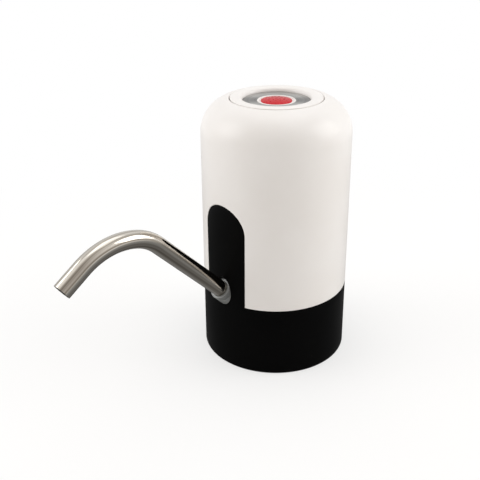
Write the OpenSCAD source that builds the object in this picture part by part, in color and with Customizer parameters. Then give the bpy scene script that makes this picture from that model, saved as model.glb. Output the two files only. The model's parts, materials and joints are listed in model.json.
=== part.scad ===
/* [Body] */
// Outside diameter at the bottom rim
base_d = 74; // [73:0.5:80]
// Height of the joint line between the base and the upper shell
seam_z = 36; // [34:0.2:38]
// Draft of the side wall in degrees
draft = 0.4; // [0.2:0.1:0.8]
// Radius of the rounded shoulder
shoulder_r = 16.5; // [15:0.5:19]
// Wall thickness of both shells
wall = 2.2; // [1.8:0.1:2.4]
// Width of the arched front panel
arch_w = 25.6; // [22:0.2:28]
// Height of the crown of the arched front panel
arch_top = 86.5; // [72:0.5:92]

/* [Neck socket] */
// Diameter of the socket's mouth, over a capped bottle neck
socket_d = 59.8; // [58:0.1:61]
// Depth of the socket up to its floor
socket_depth = 24; // [22:0.5:25]
// Depth of the wide land at the mouth
mouth_depth = 12; // [9:0.5:14]
// Thickness of the socket's floor
floor_t = 3; // [2.4:0.1:4]
// Thickness of the rubber ring at the socket's floor
gasket_t = 2; // [1:0.1:3]
// Outside diameter of the hose nozzle
nozzle_d = 7.6; // [6.4:0.1:8.4]
// Bore of the hose nozzle
nozzle_bore = 4.4; // [3:0.1:4.8]

/* [Spout] */
// Outside diameter of the steel tube
spout_d = 8; // [7:0.1:9]
// Wall of the steel tube
spout_wall = 0.5; // [0.4:0.05:0.8]
// Height at which the tube's axis leaves the body
spout_z = 41.8; // [40:0.2:46]
// Rise of the tube's first run above the horizontal in degrees
spout_tilt = 45.4; // [42:0.2:50]
// Length of the first run outside the body
run_l = 53.2; // [40:0.1:60]
// Radius of the first half of the bend
bend1_r = 25.6; // [18:0.1:34]
// Turn of the first half of the bend in degrees
bend1_a = 27.8; // [25:0.2:45]
// Radius of the second half of the bend
bend2_r = 32.5; // [18:0.1:36]
// Turn of the second half of the bend in degrees
bend2_a = 51; // [40:0.5:56]
// Length of the straight tip
tip_l = 12; // [8:0.5:20]
// Wall of the soft collar round the tube
collar_t = 1.25; // [1:0.05:1.6]
// How far the collar's end stands out along the tube
collar_out = 2.6; // [0.4:0.1:4]
// Depth of tube and collar inside the body
collar_in = 9; // [8:0.1:9.4]

/* [Key] */
// Diameter of the round key in the dome
key_d = 44; // [42:0.2:46]
// Gap between the key and its guide
key_gap = 0.35; // [0.3:0.05:0.5]
// Travel of the key
key_travel = 0.5; // [0.3:0.1:0.8]
// Outside diameter of the silver ring plate
plate_d = 32; // [30:0.2:33]
// Diameter of the red centre lens
lens_d = 14.8; // [13:0.2:16]
// Depth of the recess round the lens
recess_depth = 2.2; // [1.8:0.1:2.6]

/* [Pump] */
// Outside diameter of the pump stack
pump_d = 24.8; // [24.6:0.1:25.2]
// Height of the head cover with the ports
head_h = 8; // [7:0.2:9]
// Thickness of the valve plate
valve_plate_t = 2; // [1.6:0.1:2.4]
// Thickness of the diaphragm's flange
flange_t = 1; // [0.8:0.1:1.4]
// Height of the crank housing
crank_h = 21; // [20.6:0.2:24]
// Tilt of the wobble plate in degrees
wobble_tilt = 7; // [4:0.5:8]
// Distance of each chamber from the pump's axis
chamber_pcd_r = 6.5; // [6.3:0.1:6.6]

/* [Motor and cell] */
// Diameter of the motor can
motor_d = 24.4; // [22:0.1:24.6]
// Length of the motor can
motor_l = 30.8; // [28:0.2:33]
// Diameter of the motor shaft
shaft_d = 2; // [1.5:0.1:2.3]
// Gap between the lithium cell and the front panel
cell_gap = 1; // [0.5:0.05:2]
// Length of the lithium cell
cell_l = 65; // [62:0.5:70]

/* [Boards] */
// Thickness of both circuit boards
board_t = 1.6; // [1:0.1:2]
// Width of the control board
board_w = 26; // [24:0.5:28]
// Height of the control board
board_h = 44; // [40:0.5:48]
// Height of the charging socket's centre above the board's lower edge
usb_up = 7; // [6:0.5:12]

/* [Hidden] */
$fn = 96;

// Clearances, from a hair's breadth to room for travel
eps = 0.01;
slip = 0.05;
fit = 0.12;
room = 0.2;
run_gap = 0.3;
// How far a cutting shape runs past the face that it cuts
over = 1;

// Screw heads as multiples of the shank's radius, and the space left past a screw's tip
head_ratio = 1.9;
head_rise = 1.25;
screw_end = 0.5;

// Base and socket levels
socket_r = socket_d / 2;
seat_step = 0.6;
seat_r = socket_r - seat_step;
rim_t = 2.2;
floor_top = socket_depth + floor_t;
spigot_h = 4;
spigot_t = 1.5;
rib_n = 12;
rib_t = 1.2;
snap_n = 4;
snap_d = 0.6;
snap_w = 8;
snap_h = 1.6;
snap_up = 1.4;
snap_z = seam_z + snap_up;
gasket_w = 9;

// Arch panel with a lip behind the upper shell
arch_hw = arch_w / 2;
arch_gap = 0.1;
lip_w = 2;
lip_t = 1.2;
panel_t = wall + fit + lip_t;

// Pump stack levels
pump_r = pump_d / 2;
pad_t = 2;
head_z = floor_top + pad_t;
valve_z = head_z + head_h;
flange_z = valve_z + valve_plate_t;
crank_z = flange_z + flange_t;
motor_z = crank_z + crank_h;
ear_r = 2.6;
ear_out = 1;
ear_pcd_r = pump_r + ear_out;
ear_h = 4.5;
ear_angles = [90, 210, 330];
pump_screw_r = 1;
crank_wall = 1.5;
crank_top_t = 2;
chamber_r = 3.2;
cup_wall = 0.7;
cup_h = 3;
chamber_angles = [30, 150, 270];
port_r = 3.7;
inlet_r = 5.9;
outlet_ri = 6.7;
outlet_ro = 10.2;
outlet_z = head_z + head_h / 2;
passage_r = 1.5;
nipple_r = 2.6;

// Inlet nozzle and its seals
nozzle_r = nozzle_d / 2;
nozzle_stem_r = 5;
nozzle_shoulder = 1;
nozzle_flange_r = 8;
nozzle_flange_t = 1;
nozzle_plug_r = port_r - room;
nozzle_chamfer = 0.6;
nozzle_tip_gap = 1;
oring_d = 1.28;
oring_up = 2.4;
oring_z = head_z + oring_up;
pump_pad_gap = 1;
pump_pad_ri = nozzle_flange_r + pump_pad_gap;
pump_pad_ro = ear_pcd_r - head_ratio * pump_screw_r - run_gap;

// Valves
valve_disc_r = 1.3;
valve_disc_t = 0.4;
valve_stem_r = 0.5;
valve_bulb_r = 0.75;
valve_hole_r = 0.35;
valve_off = 1.5;
valve_hole_pcd_r = 0.95;

// Wobble drive
shaft_r = shaft_d / 2;
pivot_up = 5.5;
pivot_z = crank_z + pivot_up;
plate_t = 1.8;
post_h = 3.4;
post_r = 2.2;
arm_w = 3;
arm_pad_r = 1.9;
hub_up = 11.2;
hub_z = crank_z + hub_up;
hub_r = 5.2;
hub_gap = 0.8;
hub_top = motor_z - crank_top_t - hub_gap;
hub_notch_w = 2;
hub_notch_h = 2;
pin_r = 1;
pin_socket_l = 2.8;
pin_top = (hub_z - pivot_z) / cos(wobble_tilt) + pin_socket_l;
pin_end_gap = 0.1;
plate_skirt = 1.2;
plate_hub_r = post_r + plate_skirt;
shaft_up = 3.4;
shaft_z = hub_z + shaft_up;

// Motor
motor_r = motor_d / 2;
can_wall = 1;
nose_r = 3.1;
nose_h = 1.8;
motor_top = motor_z + motor_l;
endcap_t = 1.8;
endcap_proud = 0.8;
tail_h = 1.6;
motor_screw_x = 8;
motor_screw_r = 1.2;
magnet_ri = 9.3;
magnet_arc = 130;
magnet_over = 2;
rotor_r = 8.7;
rotor_up = 6;
rotor_z = motor_z + rotor_up;
rotor_h = 18;
rotor_core_r = 3.2;
shoe_ri = 7.1;
pole_w = 3;
pole_root = 0.3;
pole_arc = 92;
winding_ri = 3.6;
winding_t = 1.5;
commutator_r = 2.6;
terminal_x = 5;
terminal_y = 6.5;
terminal_w = 2.4;
terminal_t = 0.5;
terminal_h = 4;

// Chassis and cell levels
chassis_post_h = 18;
chassis_t = 2.5;
chassis_z = floor_top + chassis_post_h;
cell_z = chassis_z + chassis_t;
cell_top = cell_z + cell_l;
cell_space = 1.1;
cell_d = base_d / 2 - arch_top * tan(draft) - panel_t - cell_gap - pump_r - cell_space;
cell_r = cell_d / 2;
cell_y = -(pump_r + cell_space + cell_r);
cup_ring_t = 1.4;
cup_ring_h = 5;
cup_ring_r = cell_r + room + cup_ring_t;
cup_mouth = 14;
chassis_in = 4.5;
chassis_r = base_d / 2 - chassis_in;
post_x = 23;
post_front_y = -13;
post_rear_y = 15;
base_post_r = 3.5;
column_x = 27;
column_w = 6;
column_l = 10;
clip_up = 13;
clip_z = motor_z + clip_up;
clip_h = 6;
clip_t = 1.5;
clip_mouth = 14;
chassis_screw_r = 1.3;
chassis_screw_l = 8;
column_hole_end = 2;
column_hole_l = chassis_screw_l + column_hole_end;
boss_gap = 0.6;
cell_rim = 0.8;
tab_t = 0.3;
tab_w = 5;
tab_l = cell_r + tab_w;
tab_tip_x = tab_l - tab_w / 2;
tab_tip_y = cell_y + tab_tip_x;

// Crown levels
cell_pad_t = 1;
cell_pad_in = 1.2;
cell_pad_r = cell_r - cell_pad_in;
bracket_z = cell_top + cell_pad_t;
bracket_t = 2.4;
bracket_w = 12;
standoff_h = 1.6;
standoff_r = 2.2;
switch_board_z = bracket_z + bracket_t + standoff_h;
switch_board_w = 24;
switch_board_l = 16;
switch_screw_x = 9.5;
switch_z = switch_board_z + board_t;
switch_w = 6;
switch_h = 3.5;
switch_floor = 1;
stem_z = switch_z + switch_floor + key_travel + room;
stem_r = 1.75;
stem_out = 1.4;
boss_h = 3.3;
boss_r = 3;
key_floor_t = 2;
stem_top = switch_z + switch_h + stem_out;
key_floor_z = stem_top + boss_h;
recess_z = key_floor_z + key_floor_t;
body_h = recess_z + recess_depth;
key_r = key_d / 2;
key_wall = 2;
hook_h = 1.2;
hook_out = 1.2;
hook_w = 6;
key_depth = 11;
key_skirt_z = body_h - key_depth;
hook_gap = 0.1;
guide_z = key_skirt_z + hook_h + hook_gap;
guide_t = 1.6;
plate_r = plate_d / 2;
plate_thick = 0.4;
lens_r = lens_d / 2;
lens_thick = 1;
lens_edge = 0.35;
lens_crown = lens_thick - lens_edge;
lens_crown_r = (pow(lens_r, 2) + pow(lens_crown, 2)) / (2 * lens_crown);
lens_fn = 720;
lens_gap = 0.9;
bezel_t = 0.9;
bezel_h = 0.45;
bezel_r = lens_r + lens_gap + bezel_t;
bezel_z = recess_z + bezel_h;

// Dome fillet centre
shoulder_z = body_h - shoulder_r;
shoulder_x = base_d / 2 - shoulder_z * tan(draft) - shoulder_r / cos(draft);

// Spout root, and how much the tube draws down where it is bent tightest
spout_r = spout_d / 2;
bend_thin = 0.01;
bend_join = 0.2;
spout_y = base_d / 2 - spout_z * tan(draft);
collar_bore_r = spout_r + slip;
collar_r = collar_bore_r + collar_t;
collar_groove = 0.3;
collar_groove_at = [1.2, 2.2, 3.2];
spout_boss_t = 1.9;
spout_boss_r = collar_r + spout_boss_t;
feed_wide = 0.5;
feed_r = passage_r + feed_wide;
root_s = (spout_z - outlet_z) / sin(spout_tilt);
spout_boss_end = 2.9;
spout_boss_l = root_s + spout_boss_end;
root_y = -spout_y + (spout_z - outlet_z) / tan(spout_tilt);
boss_reach_y = -spout_y + spout_boss_l * cos(spout_tilt) + spout_boss_r * sin(spout_tilt);
nipple_gap = 0.4;
sleeve_y0 = boss_reach_y + 2 * nipple_gap;
sleeve_y1 = -pump_r - nipple_gap;
sleeve_mid = (sleeve_y0 + sleeve_y1) / 2;
sleeve_t = 1.4;

// Control board at the rear
board_in = 10;
board_y = base_d / 2 - board_in;
board_up = 1.5;
board_z = cell_z + board_up;
board_face = board_y + board_t;
rail_x = 10;
rail_w = 3;
rail_l = 4;
board_hole_in = 4.5;
board_screw_r = 0.9;
usb_z = board_z + usb_up;
usb_w = 7.6;
usb_h = 2.9;
usb_l = 5.8;
usb_wall = 0.3;
usb_corner = 0.8;
usb_window_gap = 1.2;
usb_dish = 2.6;
usb_dish_depth = 0.8;
tongue_in = 1.4;
tongue_t = 0.8;
led_up = 10;
led_z = usb_z + led_up;
led_w = 3;
led_h = 2;
led_t = 1.2;
light_r = 1.4;
light_inset = 0.15;
driver_w = 5;
driver_t = 1.4;
driver_h = 4;
driver_x = -3;
driver_up = 24;
charger_w = 4;
charger_t = 1.2;
charger_h = 4;
charger_x = -8;
charger_up = 33;
coil_r = 3;
coil_h = 2.6;
coil_x = 6;
coil_up = 30;

// Wires: each leaves its end straight, bows over the motor or round the pump and meets the board
wire_d = 1.3;
wire_sides = 8;
wire_steps = 3;
lead_out = 3;
lead_weld = 1.5;
lead_pitch = 4;
lead_lift = 5;
lead_turn = 8;
lead_drop = 14;
lead_sag = 1;
lead_over_y = 6;
lead_down_y = 18;
lead_in = 3.5;
low_x = 18;
low_y = 14;
low_bow = 0.5;
low_end_x = 6;
low_end_in = 7;
switch_lead_xs = [-lead_pitch / 2, 0];
switch_lead_in = 1;
battery_lead_x = 3;
motor_lead_z = board_z + board_h - lead_in;
motor_lead_top = motor_top + endcap_proud + terminal_h / 2;
motor_lead_y = terminal_y + terminal_t / 2;
battery_top_z = cell_top + tab_t / 2;
battery_low_z = cell_z + wire_d;
switch_lead_y = switch_board_l / 2 - switch_lead_in;
motor_route = [[motor_lead_y, motor_lead_top], [motor_lead_y + lead_out, motor_lead_top],
    [motor_lead_y + lead_turn, motor_lead_top - lead_sag], [board_y - lead_out, motor_lead_z],
    [board_y, motor_lead_z]];
battery_top_route = [[tab_tip_y, battery_top_z], [tab_tip_y + lead_weld, battery_top_z],
    [tab_tip_y + lead_lift, battery_top_z - lead_sag], [lead_over_y, battery_top_z - lead_lift],
    [lead_down_y, battery_top_z - lead_drop], [board_y - lead_out, motor_lead_z - lead_pitch],
    [board_y, motor_lead_z - lead_pitch]];
battery_low_route = [[tab_tip_x, cell_y, battery_low_z], [tab_tip_x + lead_out, cell_y, battery_low_z],
    [low_x, -low_y, battery_low_z], [low_x + low_bow, 0, battery_low_z],
    [low_x - lead_out, low_y, battery_low_z],
    [low_end_x, board_y - low_end_in, battery_low_z + lead_pitch / 2],
    [lead_pitch, board_y - lead_out, battery_low_z + lead_pitch],
    [lead_pitch, board_y, battery_low_z + lead_pitch]];
switch_route = [[switch_lead_y, switch_board_z], [switch_lead_y, switch_board_z - lead_out],
    [switch_lead_y + lead_pitch, bracket_z - lead_turn], [board_y - lead_pitch, motor_lead_z + lead_pitch],
    [board_y - lead_pitch / 2, motor_lead_z], [board_y, motor_lead_z]];

function unit(v) = v / norm(v);
function body_r(z) = base_d / 2 - z * tan(draft);
// A route in the YZ plane moved to a given X
function at_x(x, p) = [for (q = p) [x, q.x, q.y]];

// Half of the body's outline, set in by a given wall
module body_section(inset) {
    rr = shoulder_r - inset;
    r0 = base_d / 2 - inset / cos(draft);
    polygon([[0, 0], [r0, 0], [shoulder_x + rr * cos(draft), shoulder_z + rr * sin(draft)],
        [shoulder_x, shoulder_z + rr], [0, shoulder_z + rr]]);
    translate([shoulder_x, shoulder_z]) intersection() {
        circle(rr);
        polygon([[0, 0], [2 * rr * cos(draft), 2 * rr * sin(draft)], [2 * rr, 2 * rr], [0, 2 * rr]]);
    }
}

module body_band(inset, z0, z1) {
    intersection() {
        body_section(inset);
        translate([0, z0]) square([base_d, z1 - z0]);
    }
}

module body_solid(inset, z0, z1) {
    rotate_extrude() body_band(inset, z0, z1);
}

module ring(ro, ri, h) {
    linear_extrude(h) difference() {
        circle(ro);
        circle(ri);
    }
}

// A cylinder along Y from y0 to y1
module bar_y(r, y0, y1) {
    translate([0, y0, 0]) rotate([-90, 0, 0]) cylinder(r = r, h = y1 - y0);
}

// Outline of the front panel, grown by a margin
module arch_outline(grow, z0) {
    hw = arch_hw + grow;
    spring_z = arch_top - arch_hw;
    translate([-hw, z0]) square([2 * hw, spring_z - z0]);
    translate([0, spring_z]) intersection() {
        circle(hw);
        translate([-hw, 0]) square([2 * hw, hw]);
    }
}

module arch_prism(grow, z0) {
    rotate([90, 0, 0]) linear_extrude(base_d) arch_outline(grow, z0);
}

// Frame at the spout's root: Z runs out along the tube, X points to the outside of the bend
module at_spout() {
    translate([0, -spout_y, spout_z]) rotate([0, spout_tilt - 90, 90]) children();
}

// Frame at the wobble plate's pivot, tilted with the plate
module at_pivot() {
    translate([0, 0, pivot_z]) rotate([0, wobble_tilt, 0]) children();
}

module at_ears() {
    for (a = ear_angles) rotate([0, 0, a]) translate([ear_pcd_r, 0, 0]) children();
}

module at_chambers() {
    for (a = chamber_angles) rotate([0, 0, a]) translate([chamber_pcd_r, 0, 0]) children();
}

module at_posts() {
    for (x = [-post_x, post_x]) for (y = [post_front_y, post_rear_y]) translate([x, y, 0]) children();
}

module at_columns() {
    for (x = [-column_x, column_x]) translate([x, 0, 0]) children();
}

module at_board_holes() {
    for (x = [-rail_x, rail_x]) for (z = [board_z + board_hole_in, board_z + board_h - board_hole_in])
        translate([x, 0, z]) children();
}

module at_switch_holes() {
    for (x = [-switch_screw_x, switch_screw_x]) translate([x, 0, 0]) children();
}

module at_motor_holes() {
    for (x = [-motor_screw_x, motor_screw_x]) translate([x, 0, 0]) children();
}

// Pan head screw standing on z = 0 with its shank below
module screw(r, l) {
    head_r = head_ratio * r;
    head_h = head_rise * r;
    cross_l = 1.2 * head_r;
    cross_w = 0.24 * r;
    translate([0, 0, -l]) cylinder(r = r, h = l + eps);
    difference() {
        cylinder(r1 = head_r, r2 = 0.8 * head_r, h = head_h);
        for (a = [0, 90]) rotate([0, 0, a]) translate([-cross_l / 2, -cross_w / 2, head_h / 2])
            cube([cross_l, cross_w, head_h]);
    }
}

// Disc of the pump stack with its three screw ears
module stack_outline() {
    circle(pump_r);
    for (a = ear_angles) rotate(a) {
        translate([ear_pcd_r, 0]) circle(ear_r);
        translate([0, -ear_r]) square([ear_pcd_r, 2 * ear_r]);
    }
}

module stack_disc(h) {
    linear_extrude(h) difference() {
        stack_outline();
        for (a = ear_angles) rotate(a) translate([ear_pcd_r, 0]) circle(pump_screw_r + slip);
    }
}

// Wire route smoothed through its points
function curve_at(p, i, t) =
    let (a = p[max(i - 1, 0)], b = p[i], c = p[i + 1], d = p[min(i + 2, len(p) - 1)])
    0.5 * (2 * b + (c - a) * t + (2 * a - 5 * b + 4 * c - d) * t * t + (3 * b - a - 3 * c + d) * t * t * t);
function route(p) = concat(
    [for (i = [0:len(p) - 2]) for (k = [0:wire_steps - 1]) curve_at(p, i, k / wire_steps)], [p[len(p) - 1]]);
function heading(p, q, i) =
    i == 0 ? unit(p[1] - p[0])
    : i == len(q) - 1 ? unit(p[len(p) - 1] - p[len(p) - 2])
    : unit(q[i + 1] - q[i - 1]);

// Round wire swept along a route, with a reference direction that the route never takes
module wire(p, ref) {
    q = route(p);
    m = len(q);
    n = wire_sides;
    points = [for (i = [0:m - 1])
        let (t = heading(p, q, i), u = unit(cross(ref, t)), v = cross(t, u))
        for (k = [0:n - 1]) q[i] + wire_d / 2 * (u * cos(360 * k / n) + v * sin(360 * k / n))];
    sides = [for (i = [0:m - 2]) for (k = [0:n - 1])
        let (a = i * n + k, b = i * n + (k + 1) % n) each [[a, a + n, b], [b, a + n, b + n]]];
    ends = [[for (k = [0:n - 1]) k], [for (k = [n - 1:-1:0]) (m - 1) * n + k]];
    polyhedron(points, concat(sides, ends));
}

// Black base: skirt, neck socket, floor, front panel and spout boss in one moulding
module base_section() {
    difference() {
        body_band(0, 0, seam_z);
        difference() {
            body_band(wall, rim_t, body_h);
            square([socket_r + wall, floor_top]);
        }
        translate([0, -over]) square([socket_r, mouth_depth + over]);
        translate([0, -over]) square([seat_r, socket_depth + over]);
    }
    difference() {
        union() {
            body_band(wall + fit, seam_z - spigot_h, seam_z + spigot_h);
            body_band(wall / 2, seam_z - spigot_h, seam_z);
        }
        body_section(wall + fit + spigot_t);
    }
}

module skirt_ribs() {
    for (i = [0:rib_n - 1]) rotate([0, 0, (i + 0.5) * 360 / rib_n]) intersection() {
        difference() {
            body_solid(wall / 2, rim_t - over, socket_depth);
            translate([0, 0, -over]) cylinder(r = socket_r + wall / 2, h = body_h);
        }
        translate([0, -rib_t / 2, 0]) cube([base_d, rib_t, socket_depth]);
    }
}

module front_panel() {
    intersection() {
        difference() {
            body_solid(0, seam_z - spigot_h, arch_top + lip_w + over);
            body_solid(panel_t, 0, body_h);
        }
        arch_prism(0, seam_z - spigot_h);
    }
    intersection() {
        difference() {
            body_solid(wall + fit, seam_z - spigot_h, arch_top + lip_w + over);
            body_solid(panel_t, 0, body_h);
        }
        arch_prism(lip_w, seam_z - spigot_h);
    }
}

module snaps(out, grow) {
    for (i = [0:snap_n - 1]) rotate([0, 0, (i + 0.5) * 360 / snap_n]) intersection() {
        body_solid(out, snap_z - grow, snap_z + snap_h + grow);
        translate([socket_r, -snap_w / 2 - grow, 0]) cube([base_d, snap_w + 2 * grow, body_h]);
    }
}

module snap_beads() {
    difference() {
        snaps(wall + fit - snap_d, 0);
        body_solid(wall + fit + spigot_t / 2, 0, body_h);
    }
}

module spout_boss() {
    intersection() {
        at_spout() translate([0, 0, -spout_boss_l]) cylinder(r = spout_boss_r, h = spout_boss_l + base_d);
        body_solid(wall / 2, floor_top - over, body_h);
    }
    translate([0, 0, outlet_z]) bar_y(nipple_r, root_y, sleeve_mid - nipple_gap);
}

module base_shell() {
    color("#141414") difference() {
        union() {
            rotate_extrude() base_section();
            skirt_ribs();
            front_panel();
            snap_beads();
            spout_boss();
            at_posts() translate([0, 0, floor_top - over])
                cylinder(r = base_post_r, h = chassis_post_h + over);
        }
        at_spout() translate([0, 0, -collar_in]) cylinder(r = collar_r + slip, h = collar_in + base_d);
        at_spout() translate([0, 0, -root_s - passage_r]) cylinder(r = feed_r, h = root_s + passage_r);
        translate([0, 0, outlet_z]) bar_y(passage_r, root_y, sleeve_mid);
        translate([0, 0, socket_depth - over]) cylinder(r = nozzle_stem_r + slip, h = floor_t + 2 * over);
        at_posts() translate([0, 0, floor_top + over])
            cylinder(r = chassis_screw_r + slip, h = chassis_post_h);
    }
}

// White shell: dome, side wall, key guide and the openings for panel, charging socket and light
module slot_y(w, h, y0) {
    r = h / 2;
    translate([0, y0, 0]) rotate([-90, 0, 0]) linear_extrude(base_d) {
        square([w - h, h], center = true);
        for (x = [r - w / 2, w / 2 - r]) translate([x, 0]) circle(r);
    }
}

module upper_shell() {
    color("#f4f3f0") difference() {
        union() {
            rotate_extrude() difference() {
                body_band(0, seam_z, body_h);
                body_section(wall);
            }
            intersection() {
                body_solid(wall / 2, guide_z, body_h);
                cylinder(r = key_r + key_gap + guide_t, h = body_h);
            }
        }
        translate([0, 0, guide_z - over]) cylinder(r = key_r + key_gap, h = body_h);
        arch_prism(arch_gap, seam_z - over);
        snaps(wall - snap_d, fit);
        translate([0, 0, usb_z]) slot_y(usb_w + 2 * usb_window_gap, usb_h + 2 * usb_window_gap, board_y);
        difference() {
            translate([0, 0, usb_z]) slot_y(usb_w + 2 * usb_dish, usb_h + 2 * usb_dish, board_y);
            body_solid(usb_dish_depth, 0, body_h);
        }
        translate([0, 0, led_z]) bar_y(light_r + slip, board_y, base_d);
    }
}

// Seals and inlet
module neck_gasket() {
    color("#c9c9c4") translate([0, 0, socket_depth - gasket_t])
        ring(seat_r - slip, seat_r - gasket_w, gasket_t);
}

module hose_nozzle() {
    tip = mouth_depth + nozzle_tip_gap;
    shoulder = socket_depth - nozzle_shoulder;
    flange = head_z - nozzle_flange_t;
    bore_r = nozzle_bore / 2;
    color("#e8e6e0") rotate_extrude() difference() {
        polygon([[bore_r, tip], [nozzle_r - nozzle_chamfer, tip], [nozzle_r, tip + nozzle_chamfer],
            [nozzle_r, shoulder], [nozzle_stem_r, shoulder], [nozzle_stem_r, flange],
            [nozzle_flange_r, flange], [nozzle_flange_r, head_z], [nozzle_plug_r, head_z],
            [nozzle_plug_r, outlet_z], [bore_r, outlet_z]]);
        translate([port_r - oring_d - eps, oring_z - oring_d / 2]) square([oring_d, oring_d]);
    }
}

module nozzle_washer() {
    color("#c9c9c4") translate([0, 0, floor_top])
        ring(nozzle_flange_r, nozzle_stem_r + slip, pad_t - nozzle_flange_t);
}

module inlet_oring() {
    color("#202020") translate([0, 0, oring_z]) rotate_extrude() translate([port_r - oring_d / 2 - eps, 0])
        circle(oring_d / 2 - eps);
}

module pump_pad() {
    color("#2b2b2b") translate([0, 0, floor_top]) ring(pump_pad_ro, pump_pad_ri, pad_t);
}

// Pump head with its inlet port, ring-shaped outlet chamber and outlet nipple
module pump_head() {
    chamber_floor = outlet_z - passage_r - run_gap;
    color("#3a3a3c") difference() {
        union() {
            translate([0, 0, head_z]) stack_disc(head_h);
            translate([0, 0, outlet_z]) bar_y(nipple_r, sleeve_mid + nipple_gap, -outlet_ri);
        }
        translate([0, 0, head_z - over]) cylinder(r = port_r, h = head_h / 2 + over);
        translate([0, 0, outlet_z]) cylinder(r = inlet_r, h = head_h);
        translate([0, 0, chamber_floor]) ring(outlet_ro, outlet_ri, head_h);
        translate([0, 0, outlet_z]) bar_y(passage_r, sleeve_mid, -outlet_ri - (outlet_ro - outlet_ri) / 2);
    }
}

// Valve plate: each chamber has an inlet valve on its top and an outlet valve below it
module at_valves(off) {
    for (a = chamber_angles) rotate([0, 0, a]) translate([chamber_pcd_r + off, 0, 0]) children();
}

module valve_holes() {
    translate([0, 0, -over]) cylinder(r = valve_stem_r + slip, h = valve_plate_t + 2 * over);
    for (k = [0:2]) rotate([0, 0, 60 + 120 * k]) translate([valve_hole_pcd_r, 0, -over])
        cylinder(r = valve_hole_r, h = valve_plate_t + 2 * over);
}

module valve_plate() {
    color("#b9bcc0") translate([0, 0, valve_z]) difference() {
        stack_disc(valve_plate_t);
        at_valves(-valve_off) valve_holes();
        at_valves(valve_off) valve_holes();
    }
}

// Mushroom valve lying on z = 0 with its stem down through the plate
module mushroom() {
    cylinder(r1 = valve_disc_r, r2 = 0.7 * valve_disc_r, h = valve_disc_t);
    translate([0, 0, -valve_plate_t - eps]) cylinder(r = valve_stem_r, h = valve_plate_t + 2 * eps);
    translate([0, 0, -valve_plate_t - valve_bulb_r])
        cylinder(r1 = 0.5 * valve_bulb_r, r2 = valve_bulb_r, h = valve_bulb_r - eps);
}

module inlet_valves() {
    color("#7d3b3b") at_valves(-valve_off) translate([0, 0, flange_z]) mushroom();
}

module outlet_valves() {
    color("#7d3b3b") at_valves(valve_off) translate([0, 0, valve_z]) mirror([0, 0, 1]) mushroom();
}

// Rubber diaphragm: flange with a cup and a drive stem for each chamber
module diaphragm() {
    color("#4a4a4e") difference() {
        union() {
            translate([0, 0, flange_z]) stack_disc(flange_t);
            at_chambers() translate([0, 0, crank_z - eps])
                cylinder(r1 = chamber_r + cup_wall, r2 = chamber_r, h = cup_h);
            at_chambers() translate([0, 0, crank_z]) cylinder(r = arm_pad_r - run_gap, h = 2 * cup_h);
        }
        at_chambers() translate([0, 0, flange_z - over]) cylinder(r1 = chamber_r + room,
            r2 = chamber_r - cup_wall, h = over + flange_t + cup_h - cup_wall);
        at_pivot() translate([0, 0, -slip]) cylinder(r = pump_r, h = 2 * pump_r);
    }
}

module crank_housing() {
    crank_ri = pump_r - crank_wall;
    color("#3a3a3c") difference() {
        union() {
            translate([0, 0, crank_z]) stack_disc(ear_h);
            translate([0, 0, crank_z + ear_h]) cylinder(r = pump_r, h = crank_h - ear_h);
        }
        translate([0, 0, crank_z + flange_t]) cylinder(r = crank_ri, h = crank_h - flange_t - crank_top_t);
        translate([0, 0, crank_z - over]) at_chambers()
            cylinder(r = chamber_r + cup_wall + run_gap, h = 2 * over + flange_t);
        translate([0, 0, motor_z - crank_top_t - over])
            cylinder(r = nose_r + slip, h = crank_top_t + 2 * over);
        at_motor_holes() translate([0, 0, motor_z - crank_top_t - over])
            cylinder(r = motor_screw_r + slip, h = crank_top_t + 2 * over);
    }
}

module pump_screws() {
    l = crank_z + ear_h - head_z - screw_end;
    color("#b8bcc2") at_ears() translate([0, 0, head_z]) mirror([0, 0, 1]) screw(pump_screw_r, l);
}

module outlet_sleeve() {
    color("#d9dcd8") translate([0, 0, outlet_z]) difference() {
        bar_y(nipple_r + sleeve_t, sleeve_y0, sleeve_y1);
        bar_y(nipple_r, sleeve_y0 - over, sleeve_y1 + over);
    }
}

// Spout and its collar
module tube_ring(thin) {
    difference() {
        circle(spout_r - thin);
        circle(spout_r - thin - spout_wall);
    }
}

module tube_bend(r, a, thin) {
    translate([-r, 0, 0]) rotate([90, 0, 0]) rotate_extrude(angle = a) translate([r, 0]) tube_ring(thin);
}

module after_bend(r, a) {
    translate([-r, 0, 0]) rotate([0, -a, 0]) translate([r, 0, 0]) children();
}

module spout() {
    root = collar_in - run_gap;
    join_a = bend_join / bend1_r * 180 / PI;
    color("#b4b4b0") at_spout() {
        translate([0, 0, -root]) linear_extrude(root + run_l + bend_join) tube_ring(0);
        translate([0, 0, run_l]) {
            tube_bend(bend1_r, bend1_a + join_a, bend_thin);
            after_bend(bend1_r, bend1_a) {
                tube_bend(bend2_r, bend2_a, bend_thin / 2);
                after_bend(bend2_r, bend2_a) translate([0, 0, -bend_join])
                    linear_extrude(tip_l + bend_join) tube_ring(0);
            }
        }
    }
}

module spout_collar() {
    color("#9a9c9a") at_spout() rotate_extrude() difference() {
        polygon([[collar_bore_r, -collar_in], [collar_r, -collar_in], [collar_r, collar_out - collar_groove],
            [collar_r - collar_groove, collar_out], [collar_bore_r, collar_out]]);
        for (z = collar_groove_at) translate([collar_r - collar_groove, collar_out - z])
            square([over, collar_groove]);
    }
}

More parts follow.
